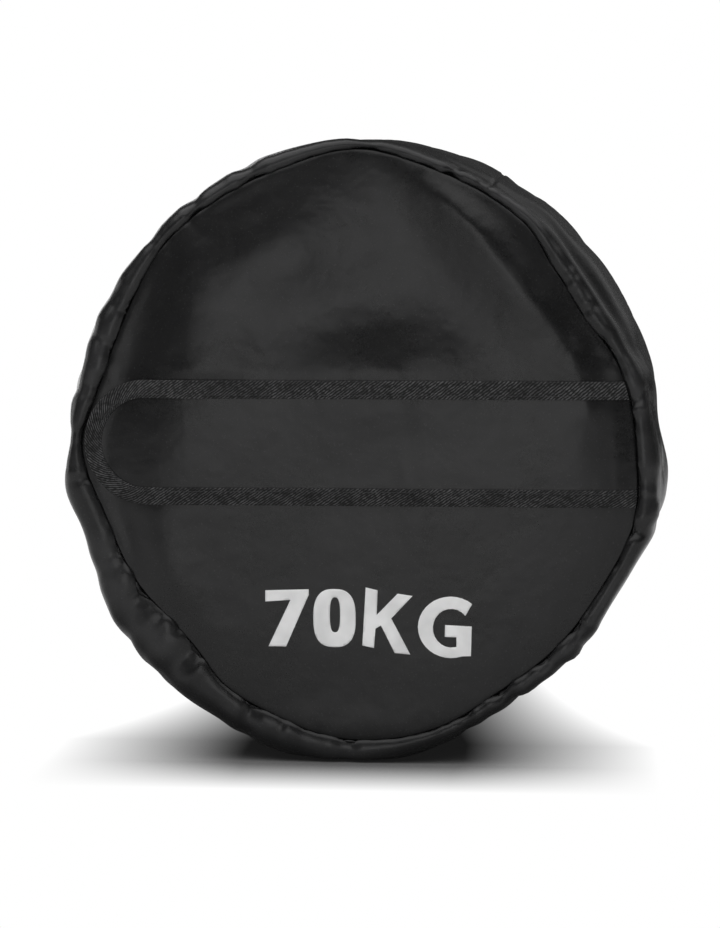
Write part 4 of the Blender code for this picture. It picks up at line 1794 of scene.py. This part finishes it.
@dataclass
class Inside:
    """What the fabric hides: the sand, the tapes over the seams and the slit's facing."""

    shell: Shell
    sleeve: FillerSleeve
    form: BagForm = FORM
    tape: float = 0.0008
    gap: float = 0.0003
    reach: float = 0.006
    facing: float = 0.0008
    facing_width: float = 0.009
    side_tape_width: float = 0.022
    side_tape_drop: float = 0.0026
    tape_softness: float = 0.0003
    spot_width: float = 0.003
    sand_room: float = 0.0006
    face_sink: float = 0.0010
    corner_room: float = 0.0007
    wall_room: float = 0.0044
    end_room: float = 0.0030
    end_start: float = 0.060
    end_rise: float = 0.035
    floor_room: float = 0.0022
    pocket_room: float = 0.0005

    def build(self) -> None:
        """Make every hidden piece."""
        for end in End:
            self.seam_tape(end)
        self.side_tape()
        self.slit_facing()
        self.filling()

    def seam_tape(self, end: End) -> None:
        """Tape folded over the raw edges of an end seam.

        Args:
            end: Which end.
        """
        angles = np.linspace(0.0, TURN, 241)
        seam = self.form.seam(angles)
        base = self.form.turned + self.gap + self.tape
        inner = -(self.gap + self.form.fabric + self.gap) - self.tape
        outer = self.form.fabric + self.gap + self.tape
        start = base - self.reach
        soft = self.tape_softness
        section = (
            (start, inner), (base - soft, inner), (base, inner + soft), (base, outer - soft),
            (base - soft, outer), (start, outer), (start, outer - self.tape),
            (base - self.tape, outer - self.tape), (base - self.tape, inner + self.tape),
            (start, inner + self.tape), (start, inner),
        )
        corners = []
        for index, (depth, out) in enumerate(section):
            x, z = self.form.around(seam + out, angles)
            y = self.form.front + depth
            if end is End.REAR:
                y = -y
            corners.append((x, y, z, angles * self.form.seam_size, index * self.spot_width))
        piece = ClothGrid.swept(f"{end.value}_seam_tape", corners, axis=0).build()
        finished(piece, SEAM_TAPE, "shell", [f"{end.value}_seam_binding"])

    def side_tape(self) -> None:
        """Tape over the lengthwise seam, inside the side panel."""
        half = self.side_tape_width / 2 / self.form.body_size
        middle = math.radians(self.form.side_seam)
        angles = np.linspace(middle - half, middle + half, 23)
        points = self.shell.side_points(angles, self.shell.section_places(12.0), folds=False)
        points = points - self.shell.outward(points) * (self.form.fabric + self.side_tape_drop)
        grid = ClothGrid("side_tape", points, flat_grid(angles * self.form.body_size, points[:, 0, 1]))
        piece = grid.build(lambda at: Vector((-at.x, 0, self.form.axis_height - at.z)))
        thicken(piece, self.tape)
        finished(piece, SEAM_TAPE, "shell", ["side_seam_tape"])

    def slit_facing(self) -> None:
        """Cloth frame behind the round end, round the slit."""
        grow = self.gap + self.facing_width
        across = np.linspace(-1.0, 1.0, 121) * (self.sleeve.width / 2 + grow)
        up = np.linspace(-1.0, 1.0, 13) * (self.sleeve.height / 2 + grow)
        x, z = np.meshgrid(self.form.slit_middle + across, self.form.flap_height + up)
        depth = self.form.fabric + self.gap - self.form.swell(x, z)
        grid = ClothGrid("facing_cloth", joined(x, self.form.front + depth, z))
        piece = grid.build(to_front, self.shell.cut_slit)
        thicken(piece, self.facing)
        finished(piece, LINING, "shell", ["slit_facing"])

    def filling(self) -> None:
        """Sand that fills the bag, with the pocket in which the sleeve is stowed."""
        angles = np.linspace(0.0, TURN, 193)
        seam = self.form.seam(angles)
        layers = self.form.fabric + self.gap + self.facing + self.sand_room
        flat_part = seam - self.form.rim_room
        rows = [(share * flat_part, layers + self.face_sink * share) for share in SAND_SHARES]
        rows += [(seam - gap, depth) for gap, depth in SAND_ROWS]
        clear = self.gap + self.form.fabric + self.gap + self.tape + self.corner_room
        rows.append((seam - clear, self.form.turned + self.gap + self.tape + self.sand_room))
        front = np.array([self.face_row(angles, radius, depth) for radius, depth in rows])
        wall = self.shell.side_points(angles, self.shell.section_places(11.0), folds=False)
        from_end = -self.form.front - np.abs(wall[..., 1])
        inset = self.wall_room + self.end_room * smooth_step((self.end_start - from_end) / self.end_rise)
        wall = wall - self.shell.outward(wall) * inset[..., None]
        points = np.concatenate([front, wall, front[::-1] * (1, -1, 1)])
        points[..., 2] = np.maximum(points[..., 2], self.form.fabric + self.floor_room)
        flat = flat_grid(angles * self.form.body_size, np.arange(len(points)) * 0.01)
        grid = ClothGrid("sand_body", points, flat)
        piece = grid.build(lambda at: Vector((at.x, at.y * 0.4, at.z - self.form.axis_height)))
        self.cut_pocket(piece)
        finished(piece, Sand(), "shell", ["sand_fill"])

    def face_row(self, angles: np.ndarray, radius: np.ndarray, depth: float) -> np.ndarray:
        """Row of points behind the front end, clear of the dents of both ends.

        Args:
            angles: Angles of the points.
            radius: Their distances from the axis.
            depth: How far they lie behind the cloth.

        Returns:
            The points.
        """
        x, z = self.form.around(radius, angles)
        low = np.minimum(self.form.swell(x, z, End.FRONT), self.form.swell(x, z, End.REAR))
        return joined(x, self.form.front + depth - low, z)

    def cut_pocket(self, piece: bpy.types.Object) -> None:
        """Cut the sleeve's pocket out of the sand.

        Args:
            piece: The sand, whose mesh is changed.
        """
        room = self.pocket_room
        middle = Vector((self.form.slit_middle, self.form.front, self.form.flap_height))
        half = Vector((self.sleeve.width / 2 + room, 0, self.sleeve.height / 2 + room))
        low = middle - half - Vector((0, 0.01, 0))
        high = middle + half + Vector((0, self.sleeve.depth + room, 0))
        bm = bmesh.new()
        made = bmesh.ops.create_cube(bm, size=1.0)
        bmesh.ops.scale(bm, vec=high - low, verts=made["verts"])
        bmesh.ops.translate(bm, vec=(low + high) / 2, verts=made["verts"])
        box = add_piece("pocket_shape", bm)
        cut = piece.modifiers.new("pocket", "BOOLEAN")
        cut.operation = "DIFFERENCE"
        cut.solver = "EXACT"
        cut.object = box
        graph = bpy.context.evaluated_depsgraph_get()
        mesh = bpy.data.meshes.new_from_object(piece.evaluated_get(graph))
        piece.modifiers.clear()
        piece.data = mesh
        mesh.shade_smooth()
        mesh.set_sharp_from_angle(angle=math.radians(40))
        bpy.data.objects.remove(box, do_unlink=True)


SEVEN = ((62, 100), (325, 91), (325, 125), (187, 440), (80, 440), (214, 157), (62, 168))
LETTER_K = (
    (668, 76), (740, 93), (734, 242), (860, 112), (950, 125), (822, 262), (937, 480), (843, 472),
    (760, 306), (727, 325), (718, 443), (648, 428), (657, 260),
)


@dataclass
class WeightMark:
    """Weight printed on the front end in plain figures.

    Its outlines are written in units, across and down from the mark's upper left corner.
    """

    form: BagForm = FORM
    unit: float = 0.0001027
    left: float = -0.0650
    top: float = 0.1178
    film: float = 0.00012
    proud: float = 0.00014
    face_size: int = 18

    def build(self) -> None:
        """Make the four characters as one print."""
        bm = bmesh.new()
        self.outline(bm, SEVEN)
        self.zero(bm)
        self.outline(bm, LETTER_K)
        self.outline(bm, self.letter_g())
        bm.normal_update()
        bmesh.ops.triangulate(bm, faces=bm.faces, quad_method="BEAUTY", ngon_method="EAR_CLIP")
        self.slice_up(bm)
        self.press_on(bm)
        finished(add_piece("weight_mark", bm), SilverFilm(), "shell")

    def outline(self, bm: bmesh.types.BMesh, corners: Iterable[tuple[float, float]]) -> None:
        """Add one filled outline."""
        bm.faces.new([bm.verts.new((x, 0.0, -y)) for x, y in corners])

    def zero(self, bm: bmesh.types.BMesh) -> None:
        """Add the second figure, a rounded ring.

        Args:
            bm: The mesh under work.
        """
        loops = []
        for x, y, wide, tall in ((480, 264, 128, 176), (483, 244, 31, 106)):
            made = bmesh.ops.create_circle(bm, segments=48, radius=1.0)["verts"]
            for vert in made:
                turn = math.atan2(vert.co.y, vert.co.x)
                c, s = math.cos(turn), math.sin(turn)
                across = math.copysign(abs(c) ** 0.75, c) * wide
                up = math.copysign(abs(s) ** 0.75, s) * tall
                vert.co = (x + across, 0.0, -y + up)
            loops += list(dict.fromkeys(edge for vert in made for edge in vert.link_edges))
        bmesh.ops.bridge_loops(bm, edges=loops)

    def letter_g(self) -> list[tuple[float, float]]:
        """Outline of the last letter: an outer arc, the bar and an inner arc.

        Returns:
            Its corners, in units.
        """
        turns = [math.radians(50 + (290 - 50) * k / 24) for k in range(25)]
        outer = [(1180 + 198 * math.cos(turn), 312 - 186 * math.sin(turn)) for turn in turns]
        bar = [(1300, 485), (1305, 305), (1145, 298), (1143, 370), (1213, 372), (1213, 430)]
        turns = [math.radians(283 - (283 - 40) * k / 16) for k in range(17)]
        inner = [(1182 + 110 * math.cos(turn), 317 - 117 * math.sin(turn)) for turn in turns]
        return outer + bar + inner + [(1275, 226)]

    def slice_up(self, bm: bmesh.types.BMesh) -> None:
        """Cut the print into small faces that can follow the cloth.

        Args:
            bm: The mesh under work.
        """
        for axis, start, stop in (((1, 0, 0), 40, 1330), ((0, 0, 1), -520, -60)):
            for place in range(start, stop, self.face_size):
                at = Vector(axis) * place
                geometry = [*bm.verts, *bm.edges, *bm.faces]
                bmesh.ops.bisect_plane(bm, geom=geometry, dist=1e-3, plane_co=at, plane_no=axis)

    def press_on(self, bm: bmesh.types.BMesh) -> None:
        """Lay the print on the cloth and give it its thickness.

        Args:
            bm: The mesh under work.
        """
        sheet = bm.loops.layers.uv.new("flat")
        x = np.array([self.left + vert.co.x * self.unit for vert in bm.verts])
        z = np.array([self.top + vert.co.z * self.unit for vert in bm.verts])
        y = self.form.front + self.form.end_depth(x, z, End.FRONT) - self.proud
        for vert, place in zip(bm.verts, zip(x, y, z)):
            vert.co = place
        for face in bm.faces:
            for loop in face.loops:
                loop[sheet].uv = loop.vert.co.xz
        bm.normal_update()
        if sum(face.normal.y * face.calc_area() for face in bm.faces) > 0:
            bmesh.ops.reverse_faces(bm, faces=bm.faces)
        made = bmesh.ops.extrude_face_region(bm, geom=bm.faces[:])
        moved = [part for part in made["geom"] if isinstance(part, bmesh.types.BMVert)]
        bmesh.ops.translate(bm, verts=moved, vec=(0, -self.film, 0))
        turn_out(bm)


@dataclass
class Studio:
    """Floor, backdrop, lamps and camera."""

    form: BagForm = FORM
    yaw: float = 4.8
    pitch: float = 4.5
    distance: float = 1.6
    lens: float = 130.4
    aim_down: float = 0.0088
    floor_radius: float = 3.0
    least_light: float = 0.05

    def build(self) -> None:
        """Make the camera, the lamps, the floor and the surroundings."""
        self.camera()
        self.lamp("top_lamp", (-0.10, -0.80, 2.60), (5.2, 4.4), 120.0)
        self.lamp("front_lamp", (-0.06, -2.20, 0.26), (0.92, 0.52), 3.5)
        self.lamp("right_lamp", (1.5, 1.3, 1.6), (2.0, 2.0), 4.2)
        self.lamp("left_lamp", (-2.2, 0.9, 0.45), (1.2, 0.9), 4.0)
        self.lamp("rear_lamp", (-1.0, 2.0, 0.50), (1.2, 0.9), 4.5)
        self.floor()
        self.backdrop()

    def stand(self, data: bpy.types.ID, place: Vector, aim: Vector) -> bpy.types.Object:
        """Put a lamp or the camera at a place, turned to another.

        Args:
            data: The lamp or camera.
            place: Where it stands.
            aim: Where it looks.

        Returns:
            The new object.
        """
        made = bpy.data.objects.new(data.name, data)
        made.location = place
        made.rotation_euler = (aim - place).to_track_quat("-Z", "Y").to_euler()
        bpy.context.scene.collection.objects.link(made)
        return made

    def camera(self) -> None:
        """Camera at the photograph's angle."""
        yaw = math.radians(self.yaw)
        pitch = math.radians(self.pitch)
        centre = Vector((0.0, self.form.front, self.form.axis_height))
        back = Vector((math.sin(yaw) * math.cos(pitch), -math.cos(yaw) * math.cos(pitch), math.sin(pitch)))
        aim = centre - Vector((0.0, 0.0, self.aim_down))
        data = bpy.data.cameras.new("camera")
        data.lens = self.lens
        data.sensor_fit = "HORIZONTAL"
        data.sensor_width = 36.0
        data.clip_start = 0.01
        bpy.context.scene.camera = self.stand(data, centre + back * self.distance, aim)

    def lamp(
        self, name: str, place: tuple[float, float, float], size: tuple[float, float], power: float
    ) -> None:
        """Soft panel that faces the bag.

        Args:
            name: Name of the lamp.
            place: Where it stands or hangs.
            size: Its width and height.
            power: Its power in watts.
        """
        data = bpy.data.lights.new(name, "AREA")
        data.shape = "RECTANGLE"
        data.size, data.size_y = size
        data.energy = power
        self.stand(data, Vector(place), Vector((0.0, -0.1, self.form.axis_height)))

    def floor(self) -> None:
        """Plain white floor with the lamps' shadow of the bag and a painted soft shadow round it."""
        bm = bmesh.new()
        bmesh.ops.create_circle(bm, cap_ends=True, radius=self.floor_radius, segments=96)
        bmesh.ops.triangulate(bm, faces=bm.faces)
        floor = add_piece("floor", bm)
        floor.data.materials.append(WhiteFloor().material())

    def backdrop(self) -> None:
        """White surroundings, softer for the light than for the eye."""
        world = bpy.data.worlds.new("surroundings")
        bpy.context.scene.world = world
        world.use_nodes = True
        tree = world.node_tree
        shader = tree.nodes["Background"]
        shader.inputs["Color"].default_value = (1.0, 1.0, 1.0, 1.0)
        path = tree.nodes.new("ShaderNodeLightPath")
        strength = tree.nodes.new("ShaderNodeMath")
        strength.operation = "MULTIPLY_ADD"
        tree.links.new(path.outputs["Is Camera Ray"], strength.inputs[0])
        strength.inputs[1].default_value = 1.0 - self.least_light
        strength.inputs[2].default_value = self.least_light
        tree.links.new(strength.outputs[0], shader.inputs["Strength"])


def main() -> None:
    """Build the bag round its frame, piece by piece."""
    logging.basicConfig(level=logging.INFO, format="%(name)s %(message)s")
    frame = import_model()
    LOG.info("frame with %d solids", len(frame["nodes"]))
    bpy.context.scene.view_settings.view_transform = "Standard"
    shell = Shell()
    sleeve = FillerSleeve()
    for group in (Studio(), shell, Flap(), Fasteners(), sleeve, Inside(shell, sleeve), WeightMark()):
        group.build()


if __name__ == "__main__":
    main()
